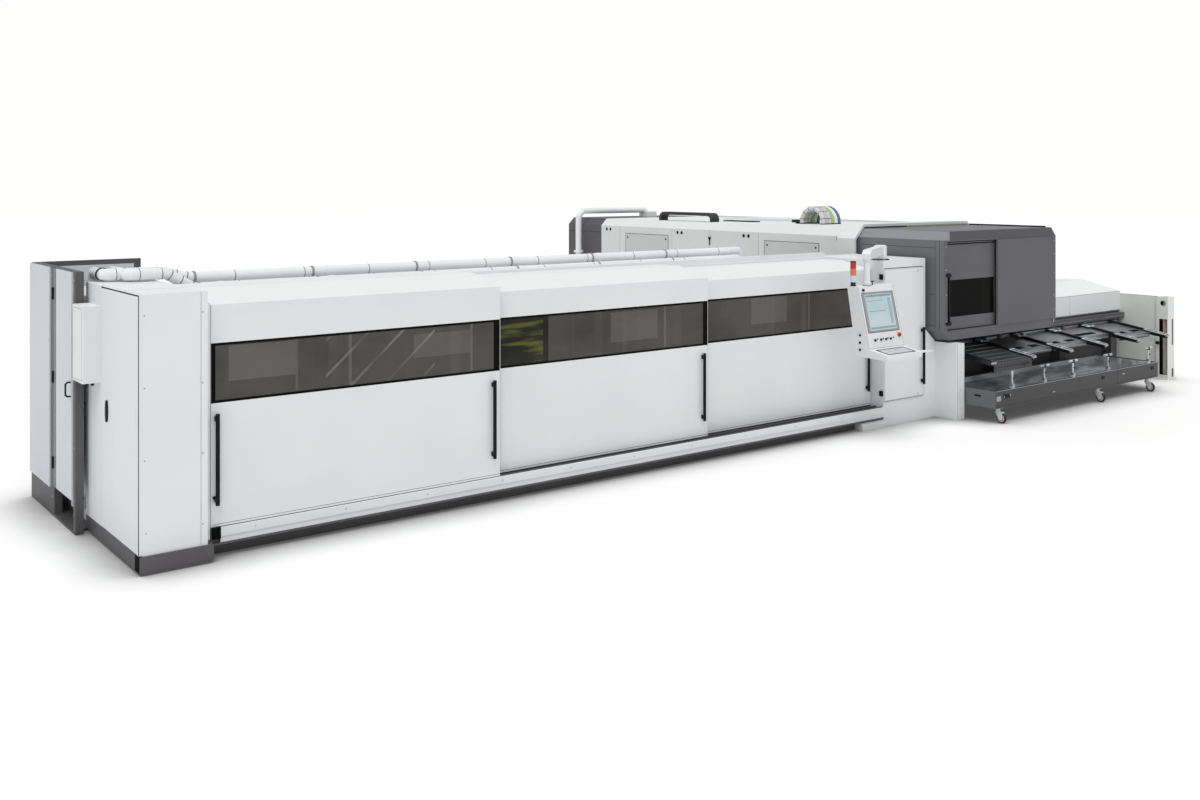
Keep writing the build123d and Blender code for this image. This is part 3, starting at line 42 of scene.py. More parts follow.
# The machine's own measures are in millimetres from the cabinet's front corner
SHIFT_X = 7.2145
SHIFT_Y = 3.4425

# Ways that round pieces stand out along
LEFTWARD = (-1, 0, 0)
RIGHTWARD = (1, 0, 0)
FORWARD = (0, -1, 0)
BACKWARD = (0, 1, 0)
UPWARD = (0, 0, 1)
DOWNWARD = (0, 0, -1)

# Radius and height of a panel screw's head
SCREW = (6, 2.5)

# Faces and edges of the solids that the trim sits on
DOOR_LEFTS = (560, 3130, 5740)
DOOR_RIGHTS = (3170, 5780, 8480)
DOOR_FACES = (125, 210, 295)
PANE_DEPTH = (0, 400)
PANE_HEIGHT = (1200, 1612)
PLINTH_TOP = 140
CABINET_FRONT = 20
CABINET_BACK = 1450
CABINET_TOP = 2040
BAY_POST_FACE = -105
BAY_PANEL_FACE = -120
BOX_FACE = -135
DECK_TOP = 1900
REAR_WALL = 1440
COLUMN_RIGHT = 9275
COLUMN_TOP = 1940
COLUMN_LEAF_FACE = 100
SIDE_GUARD_FACE = -200
PENDANT_LEFT = 7535
PENDANT_WIDTH = 600
PENDANT_TOP = 1712
PENDANT_TALL = 672
PENDANT_LEAN = 160
CABIN_LEFT = 9350
CABIN_RIGHT = 11770
CABIN_TOP = 2265
CABIN_RIM = -100
TUNNEL_LEFT = 9400
TUNNEL_RIGHT = 11720
TUNNEL_TOP = 2260
TUNNEL_COVERS = ((1915, 2935), (4980, 6030))
FAR_END = (7578, 7592)
HOSE_LEFT = 10180
HOSE_STEP = 66
HOSE_MIDDLE = 2740
HOSE_ARCH = 200
BEAM_FACE = 450
TRAY_FACE = -620
TRAY_LEFT = 9630
TRAY_LENGTH = 3820
CASTERS = [TRAY_LEFT + TRAY_LENGTH * share for share in (0.03, 0.61, 0.945)]
POSTS = [TRAY_LEFT + TRAY_LENGTH * share for share in (0.1, 0.28, 0.45, 0.67, 0.945)]
WHEEL_Y = -625
WHEEL_RADIUS = 60
ARM_WIDTH = 46
ARMS = [9730 + 4580 * share for share in (0.015, 0.2, 0.385, 0.57, 0.755, 0.93)]


def at(x, y, z):
    return Vector((x / 1000 - SHIFT_X, y / 1000 - SHIFT_Y, z / 1000))


def srgb(r, g, b):
    return tuple(
        (c / 12.92 if c <= 0.04045 else ((c + 0.055) / 1.055) ** 2.4)
        for c in (r / 255, g / 255, b / 255)
    ) + (1.0,)


# Materials

class Shade:
    """A node material with its shader at hand."""

    def __init__(self, name):
        self.mat = bpy.data.materials.new(name)
        self.mat.use_nodes = True
        self.tree = self.mat.node_tree
        self.bsdf = self.tree.nodes["Principled BSDF"]
        self.coord = self.add("ShaderNodeTexCoord").outputs["Object"]
        self.split = None

    def add(self, kind, **values):
        node = self.tree.nodes.new(kind)
        for key, value in values.items():
            setattr(node, key, value)
        return node

    def link(self, source, target):
        self.tree.links.new(source, target)

    def axis(self, letter):
        if self.split is None:
            self.split = self.add("ShaderNodeSeparateXYZ")
            self.link(self.coord, self.split.inputs[0])
        return self.split.outputs[letter]

    def facing(self, letter):
        """How far the surface faces along an axis."""
        turned = self.add("ShaderNodeSeparateXYZ")
        self.link(self.add("ShaderNodeNewGeometry").outputs["Normal"], turned.inputs[0])
        return turned.outputs[letter]

    def math(self, how, a, b):
        node = self.add("ShaderNodeMath", operation=how)
        for socket, value in zip(node.inputs, (a, b)):
            if isinstance(value, (int, float)):
                socket.default_value = value
            else:
                self.link(value, socket)
        return node.outputs[0]

    def within(self, letter, start, end):
        """One between two places along an axis, and nought outside them."""
        above = self.math("GREATER_THAN", self.axis(letter), start)
        below = self.math("LESS_THAN", self.axis(letter), end)
        return self.math("MULTIPLY", above, below)

    def inside(self, x, y, z):
        """One inside a box in machine millimetres, and nought outside it."""
        a = at(x[0], y[0], z[0])
        b = at(x[1], y[1], z[1])
        share = self.within("X", a.x, b.x)
        share = self.math("MULTIPLY", share, self.within("Y", a.y, b.y))
        return self.math("MULTIPLY", share, self.within("Z", a.z, b.z))

    def reach(self, letters, centre):
        """Distance from an axis through a point, across two letters."""
        squares = []
        for letter in letters:
            off = self.math("SUBTRACT", self.axis(letter), getattr(centre, letter.lower()))
            squares.append(self.math("MULTIPLY", off, off))
        return self.math("POWER", self.math("ADD", *squares), 0.5)

    def noise(self, scale, detail=4.0, stretch=None):
        node = self.add("ShaderNodeTexNoise")
        node.inputs["Scale"].default_value = scale
        node.inputs["Detail"].default_value = detail
        if stretch:
            place = self.add("ShaderNodeMapping")
            place.inputs["Scale"].default_value = stretch
            self.link(self.coord, place.inputs["Vector"])
            self.link(place.outputs[0], node.inputs["Vector"])
        else:
            self.link(self.coord, node.inputs["Vector"])
        return node.outputs["Fac"]

    def mix(self, share, a, b):
        node = self.add("ShaderNodeMix", data_type="RGBA")
        if isinstance(share, (int, float)):
            node.inputs[0].default_value = share
        else:
            self.link(share, node.inputs[0])
        for socket, value in ((node.inputs[6], a), (node.inputs[7], b)):
            if isinstance(value, tuple):
                socket.default_value = value
            else:
                self.link(value, socket)
        return node.outputs[2]

    def spread(self, value, a, b, start=0.0, end=1.0):
        """Map a value between start and end onto a to b."""
        node = self.add("ShaderNodeMapRange")
        self.link(value, node.inputs[0])
        for index, number in enumerate((start, end, a, b)):
            node.inputs[index + 1].default_value = number
        return node.outputs[0]

    def bump(self, height, strength, distance):
        node = self.add("ShaderNodeBump")
        node.inputs["Strength"].default_value = strength
        node.inputs["Distance"].default_value = distance
        self.link(height, node.inputs["Height"])
        self.link(node.outputs[0], self.bsdf.inputs["Normal"])

    def colour(self, value):
        self.link(value, self.bsdf.inputs["Base Color"])

    def over(self, share, value):
        """Lay another colour over the present one by a share."""
        present = self.bsdf.inputs["Base Color"].links[0].from_socket
        self.colour(self.mix(share, present, value))

    def rough(self, value):
        self.link(value, self.bsdf.inputs["Roughness"])

    def shine(self, value):
        self.bsdf.inputs["Specular IOR Level"].default_value = value


def darker(colour, share):
    return tuple(c * share for c in colour[:3]) + (1.0,)


def paint(name, colour, rough=0.42, cloud=0.93, dust=0.0, painted_top_light=0.0, side=0.0):
    """Powder coat: faint clouds, fine grain, painted light on tops and left sides, a little floor dust."""
    s = Shade(name)
    base = s.mix(s.spread(s.noise(1.3, 3.0), 0, 1, 0.35, 0.65), colour, darker(colour, cloud))
    # Painted light: faces turned to the left are mixed towards a pale grey
    if side:
        base = s.mix(s.spread(s.facing("X"), side, 0.0, -0.95, -0.4), base, srgb(190, 193, 194))
    # Painted light: faces turned upward are mixed towards white
    if painted_top_light:
        base = s.mix(s.spread(s.facing("Z"), 0.0, painted_top_light, 0.3, 0.95), base, srgb(249, 252, 252))
    if dust:
        foot = s.spread(s.axis("Z"), dust, 0.0, 0.0, 0.35)
        base = s.mix(s.math("MULTIPLY", foot, s.noise(9.0, 6.0)), base, srgb(120, 116, 110))
    s.colour(base)
    s.rough(s.spread(s.noise(30.0, 5.0), rough - 0.06, rough + 0.08))
    s.bump(s.noise(900.0, 2.0), 0.12, 0.0006)
    s.shine(0.4)
    return s


def metal(name, colour, rough=0.3, stretch=(4.0, 90.0, 90.0)):
    """Worked steel with drawn lines and smudges."""
    s = Shade(name)
    grain = s.noise(18.0, 6.0, stretch)
    s.colour(s.mix(s.spread(grain, 0, 1, 0.3, 0.7), colour, darker(colour, 0.72)))
    s.rough(s.spread(s.noise(7.0, 5.0), rough - 0.08, rough + 0.14))
    s.bump(grain, 0.15, 0.0008)
    s.bsdf.inputs["Metallic"].default_value = 1.0
    return s


def plastic(name, colour, rough=0.45, shine=0.35):
    """Moulded plastic or rubber: mottled, with a fine grain."""
    s = Shade(name)
    s.shine(shine)
    s.colour(s.mix(s.spread(s.noise(14.0, 5.0), 0, 1, 0.35, 0.7), colour, darker(colour, 0.78)))
    s.rough(s.spread(s.noise(60.0, 4.0), rough - 0.08, rough + 0.1))
    s.bump(s.noise(1400.0, 2.0), 0.2, 0.0005)
    return s


def smoked(name, colour, patch, shine):
    """Smoked pane: brown-grey, with upright ghosts of what stands behind it."""
    s = Shade(name)
    deep = s.spread(s.noise(0.9, 5.0, (1.0, 1.0, 2.2)), 0, 1, 0.42, 0.68)
    base = s.mix(deep, colour, patch)
    ghost = s.spread(s.noise(2.4, 2.0, (3.2, 1.0, 0.12)), 0, 0.5, 0.54, 0.74)
    s.colour(s.mix(ghost, base, darker(colour, 1.5)))
    s.rough(s.spread(s.noise(4.0, 3.0), 0.12, 0.2))
    s.shine(shine)
    return s


# Panel, roof, cabinet and tunnel paints carry painted light on upward faces; the cabin paint carries
# painted light on its left-facing sides
white = paint("panel_paint", srgb(228, 230, 231), 0.42, 0.97, 0.08, 0.55)
top_white = paint("roof_paint", srgb(234, 236, 238), 0.36, 0.94, 0.0, 0.35)
side_white = paint("cabinet_paint", srgb(229, 231, 234), 0.42, 0.97, 0.08, 0.6)
grey = paint("frame_paint", srgb(88, 86, 89), 0.5, 0.86, 0.12)
cabin = paint("cabin_paint", srgb(90, 90, 96), 0.36, 0.9, 0.0, 0.0, 0.16)
pale = paint("wall_paint", srgb(222, 227, 223), 0.45, 0.96, 0.08)
bay = paint("bay_paint", srgb(206, 209, 215), 0.4, 0.96, 0.1)
tunnel = paint("tunnel_paint", srgb(214, 218, 217), 0.45, 0.97, 0.08, 0.65)
cover = paint("cover_paint", srgb(197, 202, 200), 0.45, 0.97)
black = plastic("grip_black", srgb(20, 20, 21), 0.42, 0.15)
seal = plastic("seal_rubber", srgb(14, 14, 14), 0.7, 0.06)
gap = plastic("gap_shadow", srgb(46, 46, 48), 0.8, 0.1)
seam = plastic("seam_grey", srgb(128, 130, 131), 0.7)
steel = metal("bright_steel", srgb(205, 206, 208), 0.26)
sheet = paint("bright_sheet", srgb(214, 216, 218), 0.28, 0.8)
zinc = metal("zinc_plate", srgb(178, 180, 182), 0.36)
iron = metal("cast_bed_iron", srgb(112, 114, 118), 0.5, (8.0, 8.0, 8.0))
red = plastic("stop_red", srgb(190, 30, 34), 0.3)
yellow = plastic("stop_yellow", srgb(196, 166, 66), 0.4)
green = plastic("hose_green", srgb(60, 116, 104), 0.5)
olive = plastic("roof_strip_olive", srgb(150, 158, 138), 0.5)
keys = plastic("key_grey", srgb(232, 233, 234), 0.5)
rim = plastic("screen_rim", srgb(120, 122, 130), 0.4)
grille = plastic("grille_dark", srgb(48, 49, 51), 0.6, 0.15)
glass = smoked("cabin_glass", srgb(15, 14, 13), srgb(9, 9, 9), 0.03)
pane = smoked("smoked_pane", srgb(80, 78, 75), srgb(63, 60, 58), 0.16)

# Slanting bars of the line behind the first pane
lean = pane.math("SUBTRACT", pane.axis("X"), pane.math("MULTIPLY", pane.axis("Z"), 1.15))
wave = pane.math("SINE", pane.math("MULTIPLY", lean, 19.0), 0.0)
bars = pane.math("GREATER_THAN", wave, 0.955)
bars = pane.math("MULTIPLY", bars, pane.spread(pane.noise(2.0, 3.0), 0.1, 0.6, 0.4, 0.6))
bars = pane.math("MULTIPLY", bars, pane.inside((1500, 2500), PANE_DEPTH, (1190, 1620)))
pane.over(bars, srgb(136, 131, 126))

# Faint boxes and posts behind the panes
ghosts = (
    ((700, 1240), (1330, 1600), 0.2),
    ((1240, 1262), PANE_HEIGHT, 0.16),
    ((1700, 1726), PANE_HEIGHT, 0.2),
    ((2300, 2860), (1360, 1560), 0.14),
    ((2860, 2884), PANE_HEIGHT, 0.22),
    ((4500, 5100), (1300, 1590), 0.16),
    ((5180, 5210), PANE_HEIGHT, 0.22),
    ((6500, 7050), (1320, 1600), 0.15),
    ((7400, 7425), PANE_HEIGHT, 0.2),
)
for x, z, share in ghosts:
    pane.over(pane.math("MULTIPLY", pane.inside(x, PANE_DEPTH, z), share), srgb(150, 146, 142))

# A dark corner with a green glow at the left of the second pane
dusk = pane.inside((3175, 3760), PANE_DEPTH, (1190, 1612))
dusk = pane.math("MULTIPLY", dusk, pane.spread(pane.noise(3.0, 2.0), 0.72, 0.97, 0.35, 0.6))
pane.over(dusk, srgb(24, 25, 18))
glow = pane.spread(pane.noise(1.6, 3.0, (1.0, 1.0, 9.0)), 0, 0.5, 0.5, 0.64)
glow = pane.math("MULTIPLY", glow, pane.inside((3200, 3700), PANE_DEPTH, (1200, 1600)))
pane.over(glow, srgb(116, 124, 42))


def lens_stack():
    """Blue-white, orange and red lenses over a black foot."""
    s = Shade("lamp_lenses")
    foot = (PENDANT_TOP + 45) / 1000
    tall = 0.075
    base = s.mix(s.within("Z", foot, foot + tall), srgb(30, 31, 38), srgb(212, 230, 246))
    base = s.mix(s.within("Z", foot + tall, foot + 2 * tall), base, srgb(236, 128, 56))
    base = s.mix(s.within("Z", foot + 2 * tall, foot + 0.219), base, srgb(196, 38, 56))
    s.colour(s.mix(s.spread(s.noise(70.0, 3.0), 0.0, 0.22), base, srgb(60, 50, 50)))
    s.rough(s.spread(s.noise(90.0, 3.0), 0.12, 0.3))
    ribs = s.add("ShaderNodeTexWave", bands_direction="Z")
    ribs.inputs["Scale"].default_value = 60.0
    s.link(s.coord, ribs.inputs["Vector"])
    s.bump(ribs.outputs["Fac"], 0.4, 0.002)
    return s


def wheel_rubber(step, x):
    """Black tyre round a bright disc and an orange hub."""
    s = plastic("wheel_%d" % step, srgb(34, 33, 33), 0.55)
    off = s.reach("YZ", at(x, WHEEL_Y, WHEEL_RADIUS))
    s.over(s.math("LESS_THAN", off, 0.044), srgb(176, 178, 180))
    s.over(s.math("LESS_THAN", off, 0.030), srgb(198, 128, 58))
    return s


def screen_face():
    """A pale picture with a few panes and lines inside a grey border."""
    s = Shade("screen_face")
    left = at(PENDANT_LEFT, 0, 0).x
    wide = PENDANT_WIDTH / 1000
    tall = PENDANT_TALL / 1000
    top = PENDANT_TOP / 1000

    def part(x0, x1, t0, t1):
        across = s.within("X", left + wide * x0, left + wide * x1)
        return s.math("MULTIPLY", across, s.within("Z", top - tall * t1, top - tall * t0))

    sky = s.spread(s.axis("Z"), 0, 1, 1.23, 1.62)
    picture = s.mix(sky, srgb(196, 214, 216), srgb(172, 196, 204))
    picture = s.mix(s.spread(s.noise(7.0, 3.0), 0, 0.4, 0.4, 0.7), picture, srgb(206, 222, 226))
    picture = s.mix(part(0.155, 0.86, 0.145, 0.175), picture, srgb(132, 150, 160))
    picture = s.mix(part(0.19, 0.62, 0.235, 0.245), picture, srgb(140, 168, 176))
    picture = s.mix(part(0.19, 0.66, 0.40, 0.412), picture, srgb(136, 164, 172))
    picture = s.mix(part(0.155, 0.86, 0.655, 0.69), picture, srgb(148, 166, 174))
    picture = s.mix(part(0.75, 0.83, 0.20, 0.62), picture, srgb(156, 178, 186))
    s.colour(s.mix(part(0.135, 0.875, 0.13, 0.705), srgb(152, 154, 163), picture))
    s.rough(s.spread(s.noise(12.0, 2.0), 0.2, 0.3))
    return s


def hose_colours():
    """Six hoses by their place along the roof, and a black chain."""
    s = Shade("hose_colours")
    step = HOSE_STEP / 1000
    start = at(HOSE_LEFT - HOSE_STEP / 2, 0, 0).x
    shades = (
        srgb(214, 217, 218), srgb(196, 199, 200), srgb(210, 213, 214),
        srgb(170, 196, 130), srgb(238, 242, 242), srgb(70, 108, 168),
    )
    base = srgb(40, 40, 42)
    for turn, shade in enumerate(shades):
        here = s.within("X", start + step * turn, start + step * (turn + 1))
        base = s.mix(here, base, shade)
    s.colour(s.mix(s.spread(s.noise(40.0, 4.0), 0, 0.16), base, srgb(90, 90, 90)))
    s.rough(s.spread(s.noise(80.0, 3.0), 0.4, 0.6))
    return s


def coat(shade, *names):
    """Give the solids their finish."""
    for name in names:
        slots = nodes[name].data.materials
        slots.clear()
        slots.append(shade.mat)


coat(white, "front_door_1", "front_door_2", "front_door_3", "front_rail", "column_body", "column_door",
     "enclosure_frame", "beam_cover", "side_guard", "swing_arm", "pendant_case")
coat(side_white, "cabinet_body", "cabinet_door", "junction_box")
coat(top_white, "fume_ducts", "extraction_pipe")
coat(tunnel, "tunnel_body")
coat(cover, "access_covers")
coat(bay, "bay_panels")
coat(pale, "filter_unit")
coat(pane, "door_window_1", "door_window_2", "door_window_3")
coat(glass, "cabin_window")
coat(black, "door_handle_1", "door_handle_2", "door_handle_3", "cabinet_handle", "bay_handle",
     "column_handle", "cabin_handle")
coat(iron, "feed_bed", "sheet_bed")
coat(zinc, "chuck_carriage", "gantry_beam", "head_carriage")
coat(steel, "tube_chuck", "cutting_head")
coat(red, "stop_button")
coat(lens_stack(), "signal_tower")
coat(screen_face(), "pendant_screen")
coat(hose_colours(), "hose_loop")
for step, x in enumerate(CASTERS, 1):
    coat(sheet, "caster_fork_%d" % step)
    coat(wheel_rubber(step, x), "caster_wheel_%d" % step)

# Grey frames, with louvres, door lines and pulls across the tunnel's far end
slats = grey.math("SINE", grey.math("MULTIPLY", grey.axis("Z"), 157.0), 0.0)
slats = grey.math("GREATER_THAN", slats, 0.0)
for louvre in ((9720, 10340), (10780, 11400)):
    field = grey.inside(louvre, FAR_END, (420, 820))
    grey.over(grey.math("MULTIPLY", field, slats), srgb(22, 22, 23))
far_lines = (
    ((10558, 10562), (130, 2140)),
    ((9520, 11600), (2036, 2040)),
    ((9520, 11600), (300, 304)),
    ((10480, 10500), (1050, 1250)),
    ((10620, 10640), (1050, 1250)),
)
for x, z in far_lines:
    grey.over(grey.inside(x, FAR_END, z), srgb(24, 24, 25))
coat(grey, "base_plinth", "door_tracks", "bay_frame", "unload_frame", "tunnel_end")

# Bay door: a dark hinge edge with a paler line in it
leaf = paint("bay_leaf_paint", srgb(208, 211, 217), 0.4, 0.96, 0.1)
leaf.over(leaf.within("Y", at(0, 1925, 0).y, at(0, 2160, 0).y), srgb(80, 79, 82))
leaf.over(leaf.within("Y", at(0, 1962, 0).y, at(0, 1978, 0).y), srgb(150, 152, 154))
coat(leaf, "bay_door")

# Cabin: painted light on the cut edge over its left side, painted shade on the one over its front
painted_edge_light = cabin.within("X", at(9300, 0, 0).x, at(9462, 0, 0).x)
painted_edge_light = cabin.math("MULTIPLY", cabin.within("Z", 2.157, 2.262), painted_edge_light)
cabin.over(cabin.math("MULTIPLY", painted_edge_light, 0.8), srgb(150, 152, 154))
painted_brow_shade = cabin.inside((9462, 11700), (-112, 60), (2150, 2264.4))
cabin.over(cabin.math("MULTIPLY", painted_brow_shade, 0.5), srgb(54, 54, 58))
coat(cabin, "cabin_shell", "cabin_front_panel", "cabin_door")

# End guard: painted shade inside its post, a steel cylinder there, a bright foot and a black knob
guard = paint("guard_paint", srgb(226, 230, 226), 0.45, 0.96)
guard.over(guard.inside((14397.5, 14572.5), (-282.5, -127.5), (11.5, 1183)), srgb(30, 30, 31))
stem = guard.math("LESS_THAN", guard.reach("XY", at(14460, -219, 0)), 0.0364)
guard.over(stem, srgb(176, 170, 160))
tan = guard.math("MULTIPLY", stem, guard.inside((14400, 14500), (-300, -226), (480, 860)))
guard.over(tan, srgb(186, 146, 104))
guard.over(guard.inside((14300, 14389.6), (-180, -110), (480, 560)), srgb(24, 24, 25))
guard.over(guard.within("Z", -0.001, 0.0118), srgb(232, 233, 232))
coat(guard, "end_guard")

# Trolley: dark sheet metal with a bright floor and bright posts, and painted light on its left-facing sides
trolley = paint("trolley_paint", srgb(60, 60, 62), 0.42, 0.85, 0.1, 0.0, 0.2)
above = trolley.math("GREATER_THAN", trolley.axis("Z"), 0.3856)
floor_in = trolley.inside((9636, 13444), (-613, 274), (186, 372))
bright = trolley.math("MAXIMUM", above, floor_in)
sheen = trolley.spread(trolley.noise(5.0, 5.0, (0.6, 2.0, 1.0)), 0, 1, 0.35, 0.65)
trolley.over(bright, trolley.mix(sheen, srgb(232, 234, 236), srgb(158, 160, 162)))
trolley.link(trolley.math("MULTIPLY", bright, 0.4), trolley.bsdf.inputs["Metallic"])
coat(trolley, "trolley_tray")

# Table: bright trays between dark arms, a darker first tray and dark front edges
table = paint("table_sheet", srgb(150, 151, 154), 0.3, 0.74)
table.bsdf.inputs["Metallic"].default_value = 0.7
first = table.inside((9840, 10652), (-480, 330), (500, 900))
table.over(table.math("MULTIPLY", first, 0.75), srgb(84, 84, 87))
table.over(table.inside((9700, 14400), (-480, -80), (500, 672)), srgb(70, 69, 71))
for arm in ARMS:
    across = table.within("X", at(arm - 0.5, 0, 0).x, at(arm + ARM_WIDTH + 0.5, 0, 0).x)
    table.over(across, srgb(52, 52, 55))
coat(table, "tilt_table")


# Pieces made here

def piece(name, mesh, shade, body, bevel=0.0):
    obj = bpy.data.objects.new(name, mesh)
    scene.collection.objects.link(obj)
    mesh.materials.append(shade.mat)
    if bevel:
        cut = obj.modifiers.new("bevel", "BEVEL")
        cut.width = bevel
        cut.segments = 2
        cut.limit_method = "ANGLE"
        cut.angle_limit = math.radians(40)
    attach(obj, body)


def boxes_mesh(name, boxes, place):
    bm = bmesh.new()
    for x, y, z in boxes:
        a = Vector((x[0], y[0], z[0])) / 1000
        b = Vector((x[1], y[1], z[1])) / 1000
        made = bmesh.ops.create_cube(bm, size=1.0)
        size = Matrix.Diagonal((b - a).to_4d())
        size[3][3] = 1.0
        spot = place @ Matrix.Translation((a + b) / 2) @ size
        bmesh.ops.transform(bm, matrix=spot, verts=made["verts"])
    mesh = bpy.data.meshes.new(name)
    bm.to_mesh(mesh)
    bm.free()
    return mesh


def blocks(name, boxes, shade, body="machine", bevel=0.0012):
    """Several bevelled blocks, each between two ends on each axis."""
    place = Matrix.Translation(at(0, 0, 0))
    piece(name, boxes_mesh(name, boxes, place), shade, body, bevel)


def lines(name, boxes, shade=seam, body="machine"):
    """Several thin strips with sharp edges."""
    blocks(name, boxes, shade, body, 0)


def slants(name, origin, up, boxes, shade, body, bevel=0.0012):
    """Blocks on a plane that leans about X: across, up the plane and out of it."""
    across = Vector(RIGHTWARD)
    along = Vector(up).normalized()
    out = across.cross(along)
    place = Matrix.Translation(at(*origin)) @ Matrix((across, along, out)).transposed().to_4x4()
    piece(name, boxes_mesh(name, boxes, place), shade, body, bevel)


def discs(name, places, way, radius, depth, shade, body="machine", sides=24, bevel=0.001, taper=0.94):
    """Several short round pieces standing out along a way."""
    bm = bmesh.new()
    way = Vector(way)
    turn = Vector(UPWARD).rotation_difference(way).to_matrix().to_4x4()
    for x, y, z in places:
        made = bmesh.ops.create_cone(
            bm, cap_ends=True, segments=sides, radius1=radius / 1000,
            radius2=radius / 1000 * taper, depth=depth / 1000)
        middle = at(x, y, z) + way.normalized() * depth / 2000
        bmesh.ops.transform(bm, matrix=Matrix.Translation(middle) @ turn, verts=made["verts"])
    mesh = bpy.data.meshes.new(name)
    bm.to_mesh(mesh)
    bm.free()
    piece(name, mesh, shade, body, bevel)


def bands(name, places, way, radius, depth, shade, body="machine"):
    """Several straight rings about a round pipe, each centred on its place."""
    half = Vector(way).normalized() * depth / 2
    starts = [tuple(Vector(place) - half) for place in places]
    discs(name, starts, way, radius, depth, shade, body, 32, 0.0008, 1.0)


def outline(a, b, width):
    """Four strips round a rectangle, as pairs of ends on its two axes."""
    inner = (a[0] + width, a[1] - width)
    return (
        ((a[0], a[0] + width), b),
        ((a[1] - width, a[1]), b),
        (inner, (b[0], b[0] + width)),
        (inner, (b[1] - width, b[1])),
    )


def frame_strips(plane, x, z, width, depth):
    """Four strips round an upright outline on a front: y from plane inwards by depth."""
    return [(across, (plane, plane + depth), upright) for across, upright in outline(x, z, width)]


def side_strips(plane, y, z, width, depth):
    """Four strips round an upright outline on a side wall."""
    return [((plane, plane + depth), across, upright) for across, upright in outline(y, z, width)]


# Doors: black seals round the panes, foot lines, end trims and a bumper
SEAL_HEIGHT = (1172, 1630)
SEAL_FOOT = (1172, 1192)
SEAL_HEAD = (1610, 1630)
for step, (left, right, face) in enumerate(zip(DOOR_LEFTS, DOOR_RIGHTS, DOOR_FACES), 1):
    start = left + 15
    end = right - 4
    y = (face + 0.3, face + 2.8)
    body = "door_%d" % step
    blocks(
        "window_seal_%d" % step,
        [((start, start + 20), y, SEAL_HEIGHT), ((end - 62, end), y, SEAL_HEIGHT),
         ((start + 20, end - 62), y, SEAL_FOOT), ((start + 20, end - 62), y, SEAL_HEAD),
         ((left + 1, start), (face - 0.7, face + 0.3), SEAL_HEIGHT)],
        seal, body, 0.0006)
    lines("foot_line_%d" % step, [((start, end), (face - 0.4, face + 0.3), (247, 250))], gap, body)
    trim = ((right - 2.4, right - 0.4), (face - 0.4, face + 0.4), (234, 1170))
    lines("door_end_trim_%d" % step, [trim], seam, body)
discs("door_bumper", [(585, DOOR_FACES[0], 454)], FORWARD, 13, 16, black, "door_1")
blocks("rail_end_block", [((566, 629), (99, 121), (PLINTH_TOP, 228))], seal)
discs("rail_screws", [(900 + 760 * k, 100, 192) for k in range(10)], FORWARD, *SCREW, zinc)

# Blocks at the ends of the long bar handles
BAR_HALF = 16
FOOT_HALF = 15
FOOT_INSET = 20
FOOT_TALL = 38
bar_handles = (("door_handle_1", "door_1"), ("door_handle_2", "door_2"), ("door_handle_3", "door_3"),
               ("column_handle", "column_leaf"))
for name, body in bar_handles:
    a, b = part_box(name)
    left_bar = round((a.x + SHIFT_X) * 1000 + BAR_HALF)
    right_bar = round((b.x + SHIFT_X) * 1000 - BAR_HALF)
    y = ((a.y + SHIFT_Y) * 1000 + 9, (b.y + SHIFT_Y) * 1000 - 0.6)
    foot = a.z * 1000 + FOOT_INSET
    head = b.z * 1000 - FOOT_INSET
    ends = ((foot, foot + FOOT_TALL), (head - FOOT_TALL, head))
    feet = [((x - FOOT_HALF, x + FOOT_HALF), y, z) for x in sorted({left_bar, right_bar}) for z in ends]
    blocks(name + "_feet", feet, black, body, 0.003)

# Cabinet: dark corner seam, front seam, panel screws, box glands and painted shade in the plinth slot
CABINET_HEIGHT = (146, 2034)
lines("leaf_gasket", [((-0.5, 0.3), (24.5, 44), CABINET_HEIGHT), ((-0.5, 0.3), (44, 999), (2024, 2034))],
      seal, "cabinet_leaf")
lines("front_seam", [((447.5, 450.5), (CABINET_FRONT - 0.5, CABINET_FRONT + 0.2), (146, 2036))])
screw_places = ((38, 1886), (462, 1886), (462, 1358), (462, 831),
                (48, 302), (462, 302), (38, 1358), (38, 831))
discs("cabinet_screws", [(x, CABINET_FRONT, z) for x, z in screw_places], FORWARD, *SCREW, zinc)
discs("box_glands", [(-90, 1085, 1270), (-45, 1085, 1270), (-68, 1260, 1270)], DOWNWARD, 13, 26, black)
lines("box_lid_line", side_strips(BOX_FACE - 0.5, (1048, 1316), (1290, 1858), 3, 0.8))
back_skin = (CABINET_BACK - 0.4, CABINET_BACK + 0.4)
lines("cabinet_back_seams", [((10, 490), back_skin, (1100, 1104)), ((248, 252), back_skin, CABINET_HEIGHT)])
top_skin = (CABINET_TOP - 0.3, CABINET_TOP + 0.4)
lines("cabinet_top_seam", [((6, 494), (430, 433), top_skin), ((6, 494), (1010, 1013), top_skin)])
# Black strips painted as the shade in the plinth's slot
lines("plinth_slot_shade", [((0.4, 26), (11, 44), (22, 139)), ((-0.8, 0.3), (24, 122), (22, 138))], seal)

# Bay: lighter post edges, bolts, panel screws, hinges, and the filter's louvres
post_skin = (BAY_POST_FACE - 0.6, BAY_POST_FACE + 0.2)
lines("post_edges", [(post_skin, y, (5, 2125)) for y in ((1361, 1364), (1414, 1417), (2142, 2146))])
bolt_places = [(1390, z) for z in (160, 700, 1300, 2060)] + [(2100, z) for z in (160, 1180, 2060)]
discs("bay_bolts", [(BAY_POST_FACE, y, z) for y, z in bolt_places], LEFTWARD, 8, 5, zinc)
panel_places = [(BAY_PANEL_FACE, y, z) for y in (2180, 2862) for z in (290, 900, 1500, 2080)]
discs("panel_screws", panel_places, LEFTWARD, 6, 2, zinc)
hinge_heights = ((420, 520), (1150, 1250), (1860, 1960))
hinges = [((BAY_PANEL_FACE - 13, BAY_PANEL_FACE), (2010, 2046), z) for z in hinge_heights]
blocks("bay_hinges", hinges, black, "bay_leaf", 0.003)
